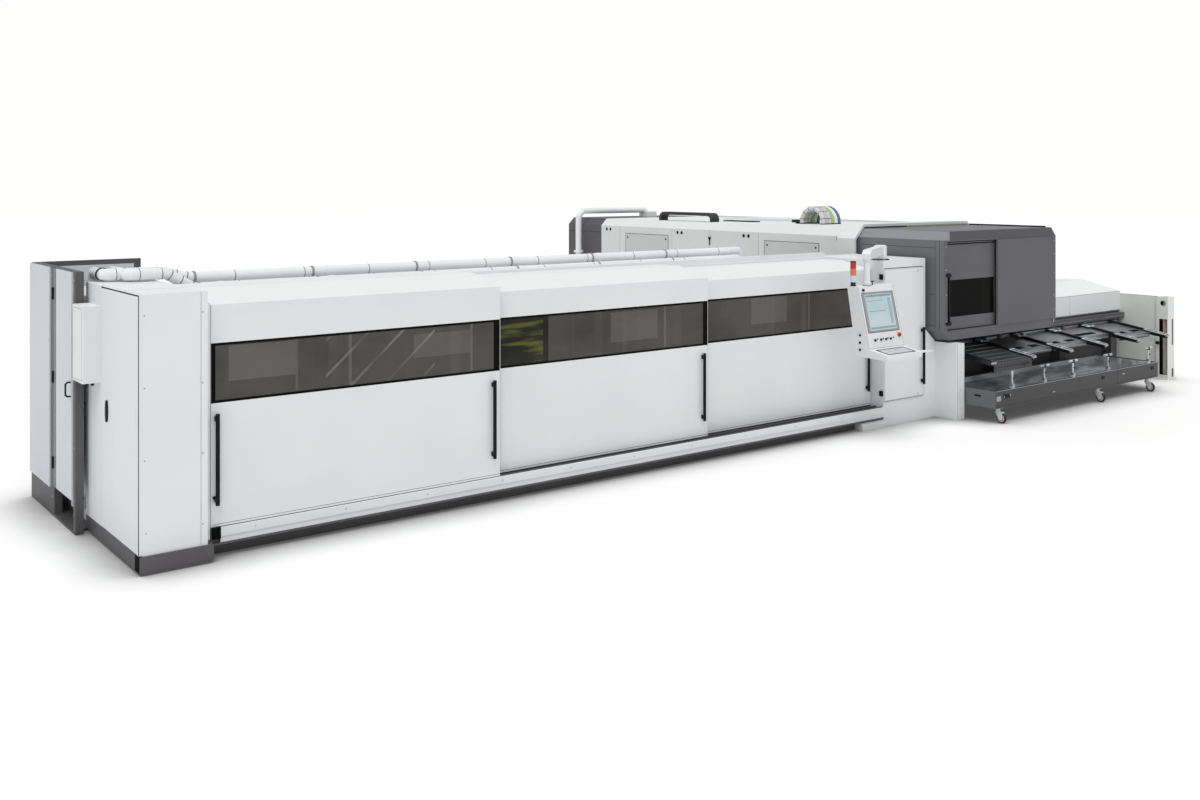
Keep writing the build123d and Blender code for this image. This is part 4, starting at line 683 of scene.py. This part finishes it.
louvres = [((140, 660), (2739.8, 2742), (300 + 44 * k, 322 + 44 * k)) for k in range(14)]
blocks("filter_louvres", louvres, grille)
lines("filter_seams", [(x, (1580, 2720), (1000, 1004)) for x in ((58.8, 60.4), (740, 741))])

# Ducts: ring seams, clamp rings and folded elbows
RISE_TOP = 2100
ducts = ((1185, 1962, 7142, 260), (1310, 2045, 7272, 110))
rings = []
clamps = []
folds = []
for y, z, end, start in ducts:
    rings += [(x, y, z) for x in range(1180, end - 300, 640)]
    clamps += [(x, y, z) for x in (830, 1900, 2960, 4050, 5090, 6130)]
    folds += [(end - 150 + 22 * k, y, z) for k in range(7)]
    rings += [(start + 80, y, RISE_TOP), (520, y, RISE_TOP)]
    folds += [(x, y, RISE_TOP) for x in range(start + 104, 512, 34)]
bands("duct_rings", rings, RIGHTWARD, 49.2, 7, seam)
bands("duct_clamps", clamps, RIGHTWARD, 53.5, 20, zinc)
bands("duct_folds", folds, RIGHTWARD, 51.5, 9, top_white)
cross_rings = [(x, y, RISE_TOP) for x, near in ((260, 1300), (110, 1420)) for y in (near, 1500, 1580)]
bands("duct_cross_rings", cross_rings, BACKWARD, 49.4, 8, seam)
bands("duct_black_clamp", [(110, 1390, RISE_TOP)], BACKWARD, 55, 30, black)
drops = (("front", (569, 1185, 2095), (781, 1185, 1967)), ("rear", (564, 1310, 2099), (786, 1310, 2046)))
for name, start, end in drops:
    way = Vector(end) - Vector(start)
    places = [tuple(Vector(start) + way * share) for share in (0.1, 0.5, 0.9)]
    bands("duct_drop_rings_" + name, places, way, 49.6, 9, seam)

# Roof deck and rear wall: seams, screws and grilles
PANEL_ENDS = range(1700, 8400, 1200)
deck_skin = (DECK_TOP - 0.2, DECK_TOP + 0.6)
lines("deck_seams", [((x, x + 3), (1082, 1438), deck_skin) for x in PANEL_ENDS])
rear_skin = (REAR_WALL - 0.2, REAR_WALL + 0.6)
lines("rear_seams", [((x, x + 4), rear_skin, (150, 1866)) for x in PANEL_ENDS])
rear_places = [(x + off, REAR_WALL, z) for x in PANEL_ENDS for off in (-40, 44) for z in (220, 1000, 1800)]
discs("rear_screws", rear_places, BACKWARD, *SCREW, zinc, sides=12)
slot_depth = (REAR_WALL - 0.2, REAR_WALL + 2)
for step, x in enumerate((2000, 4400, 6800), 1):
    slots = [((x, x + 620), slot_depth, (420 + 36 * k, 438 + 36 * k)) for k in range(12)]
    blocks("rear_grille_%d" % step, slots, grille)

# Column: black hinge caps, painted shadow line round the leaf, locks, roof plate, and the arm's flange, cap
# and collars
caps = [((8468.5, 8486), (112.5, 165), z) for z in ((351, 415), (1717, 1781))]
blocks("hinge_caps", caps, black, "machine", 0.004)
# Thin dark strips painted as the shadow line round the column's leaf
LEAF_SHADOW_LINE = (112.2, 114.8)
lines("column_leaf_shadow",
      [((8490, 9232), LEAF_SHADOW_LINE, (1840.4, 1848)), ((9230.4, 9237), LEAF_SHADOW_LINE, (288, 1840)),
       ((8490, 9232), LEAF_SHADOW_LINE, (284, 291.6))], gap)
locks = [(9113, COLUMN_LEAF_FACE, z) for z in (1800, 321)]
discs("column_locks", locks, FORWARD, 10, 4, zinc, "column_leaf")
leaf_lines = frame_strips(COLUMN_LEAF_FACE - 0.5, (8494, 9226), (298, 1834), 2.5, 0.7)
lines("column_leaf_lines", leaf_lines, seam, "column_leaf")
column_skin = (COLUMN_RIGHT - 0.2, COLUMN_RIGHT + 0.6)
lines("column_side_lines", [(column_skin, y, (1090, 1936)) for y in ((135, 139), (1150, 1154))])
blocks("column_roof_lip", [((8500, 9262), (1150, 1160), (COLUMN_TOP, COLUMN_TOP + 6))], white)
discs("arm_flange", [(8600, 250, COLUMN_TOP + 1)], UPWARD, 108, 9, gap, "arm", 40)
discs("arm_cap", [(8600, 250, 2105.3)], UPWARD, 66, 8, white, "arm", 40)
bands("drop_collars", [(7750, -250, 1996), (7750, -250, 1748)], UPWARD, 44, 18, white, "arm")
lines("toe_plate_line", [((8085, 8480), (84.6, 85.3), (76, 79))])
guard_skin = (SIDE_GUARD_FACE - 0.6, SIDE_GUARD_FACE + 0.4)
lines("guard_fold", [(x, guard_skin, (4, 911)) for x in ((9612, 9619.6), (9474, 9478))])
discs("guard_screws", [(9545, SIDE_GUARD_FACE, z) for z in (570, 360, 780, 140)], FORWARD, *SCREW, zinc)

# Pendant: knobs, lamps, face lines, screen rim, side plugs, keyboard, lever and lamp cap
FACE_UP = (0, PENDANT_LEAN, PENDANT_TALL)
FACE_OUT = (0, -0.9728, 0.2316)
SHELF_UP = (0, 240, 40)
SHELF_MIDDLE = (7835, -580, 1020)


def on_face(x, t):
    """A point on the leaning face, by shares of its width and of its height from the top."""
    return (PENDANT_LEFT + PENDANT_WIDTH * x, -300 - PENDANT_LEAN * t, PENDANT_TOP - PENDANT_TALL * t)


knobs = [on_face(x, 0.862) for x in (0.2, 0.365, 0.505, 0.64)]
discs("face_knobs", knobs, FACE_OUT, 13, 15, black, "pendant")
lamps = [on_face(x, 0.846) for x in (0.28, 0.435, 0.57, 0.73)]
discs("face_lamps", lamps, FACE_OUT, 8, 7, grille, "pendant")
discs("face_key_switch", [on_face(0.12, 0.06)], FACE_OUT, 15, 18, black, "pendant")
discs("stop_collar", [on_face(0.9, 0.815)], FACE_OUT, 28, 2.2, yellow, "pendant", 32)
THIN = (0.1, 0.8)
slants("face_frame", on_face(0, 1), FACE_UP,
       [((4, 596), (8, 10.5), THIN), ((4, 7), (10, 684), THIN), ((593, 596), (10, 684), THIN),
        ((60, 540), (176, 178.5), THIN)], seam, "pendant", 0)
RIM = (0.1, 4.2)
slants("screen_frame", on_face(0, 1), FACE_UP,
       [((38, 562), (180, 187), RIM), ((38, 562), (614, 621), RIM),
        ((33, 41), (180, 621), RIM), ((559, 567), (180, 621), RIM)], rim, "pendant", 0.001)
side_plugs = [(PENDANT_LEFT, -333, z) for z in (1189, 1108, 1030)]
discs("side_plugs", side_plugs, LEFTWARD, 14, 7, black, "pendant")
slants("key_bed", SHELF_MIDDLE, SHELF_UP, [((-214, 214), (-73, 73), (-4.7, -3.6))], grille, "pendant", 0)
key_caps = [((-208 + 30 * c, -183 + 30 * c), (-68 + 28 * r, -45 + 28 * r), (-3.6, 1.2))
            for c in range(14) for r in range(5)]
slants("keyboard", SHELF_MIDDLE, SHELF_UP, key_caps, keys, "pendant", 0.0012)
KEY_RIM = (0.2, 2.4)
slants("key_rim", SHELF_MIDDLE, SHELF_UP,
       [((-234, 234), (-92, -77), KEY_RIM), ((-234, 234), (77, 92), KEY_RIM),
        ((-234, -218), (-77, 77), KEY_RIM), ((218, 234), (-77, 77), KEY_RIM)], black, "pendant", 0.0008)
discs("lever_stem", [(7862, -232, PENDANT_TOP)], UPWARD, 6, 38, black, "pendant")
blocks("lever_bar", [((7832, 7892), (-239, -225), (1748, 1760))], black, "pendant", 0.004)
discs("lamp_cap", [(7590, -190, 1982)], UPWARD, 31, 6, black, "pendant", 32)
bands("drop_seal", [(7750, -250, PENDANT_TOP + 4)], UPWARD, 49, 7, seal, "pendant")
bands("lamp_foot", [(7590, -190, PENDANT_TOP + 4)], UPWARD, 34, 8, black, "pendant")

# Cabin: seams, grille, runner shadow, handle mounts, roof strips, rivets and latch
left_skin = (CABIN_LEFT - 0.7, CABIN_LEFT + 0.3)
lines("cabin_side_seams",
      [(left_skin, (25, 29), (1065, 2150)), (left_skin, (-39, -35), (1065, 2150)),
       (left_skin, (28, 125), (1499, 1503)), (left_skin, (28, 1150), (2062, 2067)),
       (left_skin, (28, 1150), (1120, 1124))], gap)
right_skin = (CABIN_RIGHT - 0.3, CABIN_RIGHT + 0.7)
lines("cabin_right_seams",
      [(right_skin, (25, 29), (1065, 2150)), (right_skin, (28, 1150), (2062, 2067)),
       (right_skin, (600, 604), (1124, 2062)), (right_skin, (28, 1150), (1120, 1124))], gap)
vent_depth = (CABIN_RIGHT - 0.4, CABIN_RIGHT + 2)
vents = [(vent_depth, (720, 1080), (1320 + 34 * k, 1336 + 34 * k)) for k in range(12)]
blocks("cabin_grille", vents, grille)
roof_skin = (CABIN_TOP - 0.3, CABIN_TOP + 0.5)
roof_seams = [((9470, 11650), (24, 28), roof_skin), ((10558, 10562), (28, 1195), roof_skin)]
lines("cabin_top_seam", roof_seams, gap)
lines("runner_shadow", [((9425, 11685), (-70.4, -66), z) for z in ((2128, 2139.6), (1065.4, 1072))], seal)
lines("leaf_top_strip", [((9432, 10455), (-62.6, -61.6), (2100, 2114))], seal, "cabin_leaf")
pane_frame = frame_strips(-62.8, (9434, 10450), (1222, 1670), 7, 1.0)
blocks("leaf_pane_frame", pane_frame, seal, "cabin_leaf", 0.0004)
mounts = []
for z in ((1134, 1170), (1718, 1754)):
    mounts += [((9434, 9474), (-104, -62), z), ((9392, 9474), (-122, -102), z)]
blocks("handle_mounts", mounts, black, "cabin_leaf", 0.004)
blocks("cabin_roof_strip", [((10290, 11600), (1140, 1186), (CABIN_TOP, CABIN_TOP + 19))], olive)
blocks("cabin_roof_bar", [((11626, 11650), (-30, 1140), (CABIN_TOP, CABIN_TOP + 17))], black)
rivets = [(11728, CABIN_RIM, z) for z in (1180, 1368, 1659, 1915, 2080)]
rivets += [(9392, CABIN_RIM, z) for z in (1180, 1500, 1800, 2080)]
discs("rim_rivets", rivets, FORWARD, 8, 4, steel)
blocks("rim_latch", [((11690, 11716), (CABIN_RIM - 12, CABIN_RIM), (1010, 1052))], zinc, "machine", 0.003)
lines("panel_edge", frame_strips(-85.6, (10445, 11668), (1082, 2124), 3, 0.8), gap)

# Tunnel: cover outlines, plugs, latches, seams, screws and grilles
COVER_FACE = TUNNEL_LEFT - 6
cover_lines = []
for start, end in TUNNEL_COVERS:
    cover_lines += side_strips(COVER_FACE - 0.8, (start + 3, end - 3), (1253, 2043), 6, 0.9)
lines("cover_lines", cover_lines, gap)
for step, (start, end) in enumerate(TUNNEL_COVERS, 1):
    corners = [(COVER_FACE, y, z) for y in (start + 60, end - 60) for z in (1320, 1980)]
    discs("cover_locks_%d" % step, corners, LEFTWARD, 13, 7, black)
plugs = [(TUNNEL_LEFT + 4, start + off, 2092) for start in (3250, 4680, 6430) for off in (0, 95)]
discs("vent_plugs", plugs, LEFTWARD, 25, 6, black)
blocks("tunnel_latches",
       [((TUNNEL_LEFT - 14, TUNNEL_LEFT), (4030, 4078), (2016, 2050)),
        ((TUNNEL_LEFT - 11, TUNNEL_LEFT), (4046, 4062), (1930, 2018)),
        ((TUNNEL_LEFT - 14, TUNNEL_LEFT), (1584, 1612), (2090, 2140))], black, "machine", 0.003)
left_wall = (TUNNEL_LEFT - 0.6, TUNNEL_LEFT + 0.4)
right_wall = (TUNNEL_RIGHT - 0.4, TUNNEL_RIGHT + 0.6)
waist = ((1520, 6660), (1120, 1124))
left_seams = [(left_wall, (y, y + 4), (110, 2146)) for y in (3050, 4052, 4900, 6180)]
lines("tunnel_side_seams", left_seams + [(left_wall, *waist)])
right_ends = (2300, 3200, 4100, 5000, 5900)
right_seams = [(right_wall, (y, y + 4), (110, 2146)) for y in right_ends]
lines("tunnel_right_seams", right_seams + [(right_wall, *waist)])
right_places = [(TUNNEL_RIGHT, y + off, z)
                for y in right_ends for off in (-36, 40) for z in (240, 1060, 1200, 2060)]
discs("tunnel_right_screws", right_places, RIGHTWARD, 7, 3, zinc, sides=12)
right_slots = [((TUNNEL_RIGHT - 0.4, TUNNEL_RIGHT + 2), (y, y + 520), (420 + 36 * k, 438 + 36 * k))
               for y in (2500, 5200) for k in range(10)]
blocks("tunnel_right_grilles", right_slots, grille)

# Tunnel roof: hatches, lips, box, hose flanges and ribs, chain links, end lines and pipe rings
blocks("roof_hatch",
       [((10080, 10240), (3840, 4480), (TUNNEL_TOP, TUNNEL_TOP + 16)),
        ((10520, 10660), (3300, 3460), (TUNNEL_TOP, TUNNEL_TOP + 40)),
        ((10120, 10580), (2980, 3010), (TUNNEL_TOP, TUNNEL_TOP + 30))], black, "machine", 0.004)
lips = [((11560, 11600), (1560, 6620), (TUNNEL_TOP, TUNNEL_TOP + 26))]
lips += [((10700, 11540), (y, y + 12), (TUNNEL_TOP, TUNNEL_TOP + 12)) for y in (2300, 3700, 5100)]
blocks("roof_lip", lips, tunnel)
roof_box = ((10760, 11300), (3900, 4700), (TUNNEL_TOP, TUNNEL_TOP + 40))
blocks("roof_box", [roof_box], top_white, "machine", 0.008)
flanges = [(HOSE_LEFT + HOSE_STEP * k, HOSE_MIDDLE + side, TUNNEL_TOP)
           for k in range(6) for side in (-HOSE_ARCH, HOSE_ARCH)]
discs("hose_flanges", flanges, UPWARD, 36, 14, black, sides=20)
for hose, name in enumerate("abc"):
    for step in range(0, 11, 2):
        turned = math.pi * (step + 1) / 12
        y = HOSE_MIDDLE + HOSE_ARCH * math.cos(turned)
        z = TUNNEL_TOP + 25 + HOSE_ARCH * math.sin(turned)
        way = (0, -math.sin(turned), math.cos(turned))
        bands("hose_rib_%s%d" % (name, step), [(HOSE_LEFT + HOSE_STEP * hose, y, z)], way, 33.4, 12, seam)
CHAIN = (9598.5, 9751.5)
links = [(CHAIN, (4314 + 74 * k, 4328 + 74 * k), (2351, 2396.5)) for k in range(15)]
links += [(CHAIN, (4218.6, 4266), (2270 + 26 * k, 2280 + 26 * k)) for k in range(2)]
blocks("chain_links", links, grille, "machine", 0.001)
lines("tunnel_end_lines",
      [(left_wall, (6690, 7560), (2036, 2040)), (left_wall, (7120, 7124), (120, 2036)),
       (right_wall, (6690, 7560), (2036, 2040))], seal)
bands("riser_rings", [(9250, 7105, z) for z in (1560, 1950, 2140)], UPWARD, 50, 14, top_white)
bands("riser_run_rings", [(x, 7105, 2380) for x in (9500, 9900, 10300)], RIGHTWARD, 50, 14, top_white)

# Beam cover and end guard: seams, screws, painted shadow along the top edge, foot slot, lower wall and
# ledge rails
beam_skin = (BEAM_FACE - 0.6, BEAM_FACE + 0.4)
lines("beam_seams", [((11780, 14330), beam_skin, (1226, 1229)), ((13040, 13043), beam_skin, (960, 1226))])
beam_places = [(x, BEAM_FACE, 985) for x in range(11860, 14300, 400)]
discs("beam_screws", beam_places, FORWARD, *SCREW, zinc, sides=12)
# A dark strip painted as the shadow along the wall's top edge
blocks("guard_top_shadow", [((14420.5, 14449.5), (-119, 699), (1189.6, 1192.4))], gap, "machine", 0.0006)
lines("guard_foot_slot", [((14507, 14547), (-290.8, -289.4), (28, 150))], black)
blocks("wall_skirt", [((14423, 14447), (-118, 698), (70, 560.5))], guard, "machine", 0.002)
ledges = [((9640, 14400), (379.2, 380.4), (872, 880)), ((11780, 14400), (479.2, 480.4), (936, 944))]
lines("ledge_rail", ledges, zinc)

# Table: tip rollers, root plates, arm ribs, tip bars, clamps, slots, ribs, bolts and fittings
TABLE_UP = (0, 835, 130)
TABLE_TIP = (0, -470, 700)
SLOT = (-26, -24.6)
rollers = [(arm - 16, -470, 684) for arm in ARMS]
discs("tip_rollers", rollers, RIGHTWARD, 15, 78, steel, "tilt", 24, 0.002, 1.0)


def on_table(name, boxes, shade, bevel=0.0012):
    slants(name, TABLE_TIP, TABLE_UP, boxes, shade, "tilt", bevel)


on_table("root_plates", [((arm - 70, arm + 116), (690, 800), (1, 5)) for arm in ARMS[1:5]], sheet)
on_table("arm_ribs", [((arm + 10, arm + 36), (40, 660), (0.4, 4)) for arm in ARMS], grille)
tip_bars = [((arm + off, arm + off + 15), (-6, 330), (-10, 6)) for arm in ARMS[1:] for off in (-17, 48)]
tip_bars += [((arm - 30, arm + 76), (y, y + 16), (-6, 9)) for arm in ARMS[1:] for y in (110, 300)]
on_table("tip_bars", tip_bars, sheet, 0.003)
clamp_boxes = [((arm + off, arm + off + 50), (716, 760), (5, 18)) for arm in ARMS[1:5] for off in (-64, 60)]
on_table("root_clamps", clamp_boxes, steel, 0.003)
tray_slots = [((ARMS[k] + ARM_WIDTH + off, ARMS[k] + ARM_WIDTH + off + 200), (340, 420), SLOT)
              for k in (1, 2, 4) for off in (120, 480)]
tray_slots.append(((ARMS[3] + 170, ARMS[3] + 640), (480, 560), SLOT))
on_table("tray_slots", tray_slots, seal, 0)
tray_ribs = [((ARMS[0] + 60, ARMS[1] - 14), (60 + 120 * k, 72 + 120 * k), (-26, -20)) for k in range(6)]
tray_ribs += [((ARMS[k] + 60, ARMS[k + 1] - 14), (300, 308), (-26, -18)) for k in (1, 2, 4)]
on_table("tray_ribs", tray_ribs, zinc)
bolts = [(arm + ARM_WIDTH / 2, -440, 712) for arm in ARMS]
discs("tray_bolts", bolts, (0, -0.15, 0.98), 9, 7, steel, "tilt")
holes = [(9870 + 62 * k, -458.2, 620) for k in range(12)]
discs("edge_holes", holes, FORWARD, 9, 1.2, seal, "tilt", 16, 0)
for step, arm in enumerate(ARMS[1:5], 1):
    bands("root_fitting_%d" % step, [(arm + 70, 300, 836)], (0.25, 0.95, 0.12), 9, 150, green, "tilt")

# Trolley: bright flange, line, seam, pulls, latches, plate, clamp blocks, knobs and caster plates
tray_skin = (TRAY_FACE - 0.6, TRAY_FACE + 0.4)
lines("tray_flange", [((9632, 13448), (TRAY_FACE - 1.2, TRAY_FACE + 0.4), (379, 385.4))], zinc, "trolley")
lines("tray_line", [((9640, 13440), tray_skin, (196, 199))], gap, "trolley")
lines("tray_seam", [((12391, 12395), tray_skin, (184, 378))], seal, "trolley")
pull_depth = (TRAY_FACE - 8, TRAY_FACE)
pulls = [((10832, 10892), pull_depth, (247, 259)), ((12500, 12560), pull_depth, (304, 318))]
blocks("tray_pulls", pulls, steel, "trolley", 0.003)
latches = [((9815, 9905), (TRAY_FACE - 14, TRAY_FACE), (288, 330)),
           ((11996, 12056), pull_depth, (290, 330)), ((13270, 13328), pull_depth, (292, 336))]
blocks("tray_latches", latches, black, "trolley", 0.004)
discs("latch_knobs", [(9800, TRAY_FACE, 306), (9920, TRAY_FACE, 318)], FORWARD, 9, 12, steel, "trolley")
plate = ((9650, 9740), (TRAY_FACE - 1.4, TRAY_FACE + 0.2), (262, 322))
blocks("bare_plate", [plate], zinc, "trolley", 0.0008)
post_blocks = [((x - 24, x + 24), (-616, -572), (404, 440)) for x in POSTS]
blocks("post_blocks", post_blocks, zinc, "trolley", 0.004)
post_heads = [((x - 22, x + 22), (-611, -575), (566, 604)) for x in POSTS[1:]]
blocks("post_heads", post_heads, grille, "trolley", 0.004)
discs("post_knobs", [(x, -611, 505) for x in POSTS], FORWARD, 11, 7, black, "trolley")
plates = [((x - 55, x + 55), (-618, -520), (172.4, 179.8)) for x in CASTERS]
blocks("caster_plates", plates, zinc, "trolley", 0.002)
end_skin = (TRAY_LEFT - 0.8, TRAY_LEFT + 0.3)
lines("tray_end_slot", [(end_skin, y, (296, 318)) for y in ((-420, -330), (-60, 20))], black, "trolley")

# Floor with a soft contact shadow
FLOOR_HALF = 90
corners = [(-FLOOR_HALF, -FLOOR_HALF, 0), (FLOOR_HALF, -FLOOR_HALF, 0),
           (FLOOR_HALF, FLOOR_HALF, 0), (-FLOOR_HALF, FLOOR_HALF, 0)]
floor_mesh = bpy.data.meshes.new("floor")
floor_mesh.from_pydata(corners, [], [(0, 1, 2, 3)])
floor = bpy.data.objects.new("floor", floor_mesh)
scene.collection.objects.link(floor)
ground = Shade("floor_white")
near = ground.add("ShaderNodeAmbientOcclusion", samples=8)
near.inputs["Distance"].default_value = 0.55
open_sky = ground.spread(near.outputs["AO"], 0, 1, 0.3, 0.97)
ground.colour(ground.mix(open_sky, (0.12, 0.12, 0.12, 1), (0.97, 0.97, 0.97, 1)))
ground.bsdf.inputs["Roughness"].default_value = 0.9
ground.shine(0.0)
ground.bsdf.inputs["Emission Color"].default_value = (1, 1, 1, 1)
ray = ground.add("ShaderNodeLightPath")
seen = ground.math("MULTIPLY", ray.outputs["Is Camera Ray"], 0.07)
ground.link(seen, ground.bsdf.inputs["Emission Strength"])
floor_mesh.materials.append(ground.mat)

# Soft light all round, a white background and one broad sun
WORLD_LIGHT = 0.62
BACKGROUND = 1.0
world = bpy.data.worlds.new("studio")
scene.world = world
world.use_nodes = True
tree = world.node_tree
back = tree.nodes["Background"]
back.inputs["Color"].default_value = (1.0, 0.997, 0.992, 1)
path = tree.nodes.new("ShaderNodeLightPath")
plain = tree.nodes.new("ShaderNodeMath")
plain.operation = "MAXIMUM"
tree.links.new(path.outputs["Is Camera Ray"], plain.inputs[0])
tree.links.new(path.outputs["Is Transmission Ray"], plain.inputs[1])
level = tree.nodes.new("ShaderNodeMapRange")
tree.links.new(plain.outputs[0], level.inputs[0])
level.inputs["To Min"].default_value = WORLD_LIGHT
level.inputs["To Max"].default_value = BACKGROUND
tree.links.new(level.outputs[0], back.inputs["Strength"])

sun = bpy.data.lights.new("key", "SUN")
sun.energy = 1.35
sun.angle = math.radians(40)
sun_obj = bpy.data.objects.new("key", sun)
sun_obj.rotation_euler = Vector((-0.34, -0.40, 1.0)).to_track_quat("Z", "Y").to_euler()
scene.collection.objects.link(sun_obj)

# Camera at the photograph's viewing angle
cam = bpy.data.cameras.new("camera")
cam.sensor_width = 36.0
cam.lens = 35.4003
cam.shift_y = -0.18087
cam.clip_end = 400
cam_obj = bpy.data.objects.new("camera", cam)
cam_obj.location = at(-2592, -8774, 2850)
cam_obj.rotation_euler = Vector((0.6123, 0.7906, 0)).to_track_quat("-Z", "Y").to_euler()
scene.collection.objects.link(cam_obj)
scene.camera = cam_obj
scene.view_settings.view_transform = "Standard"
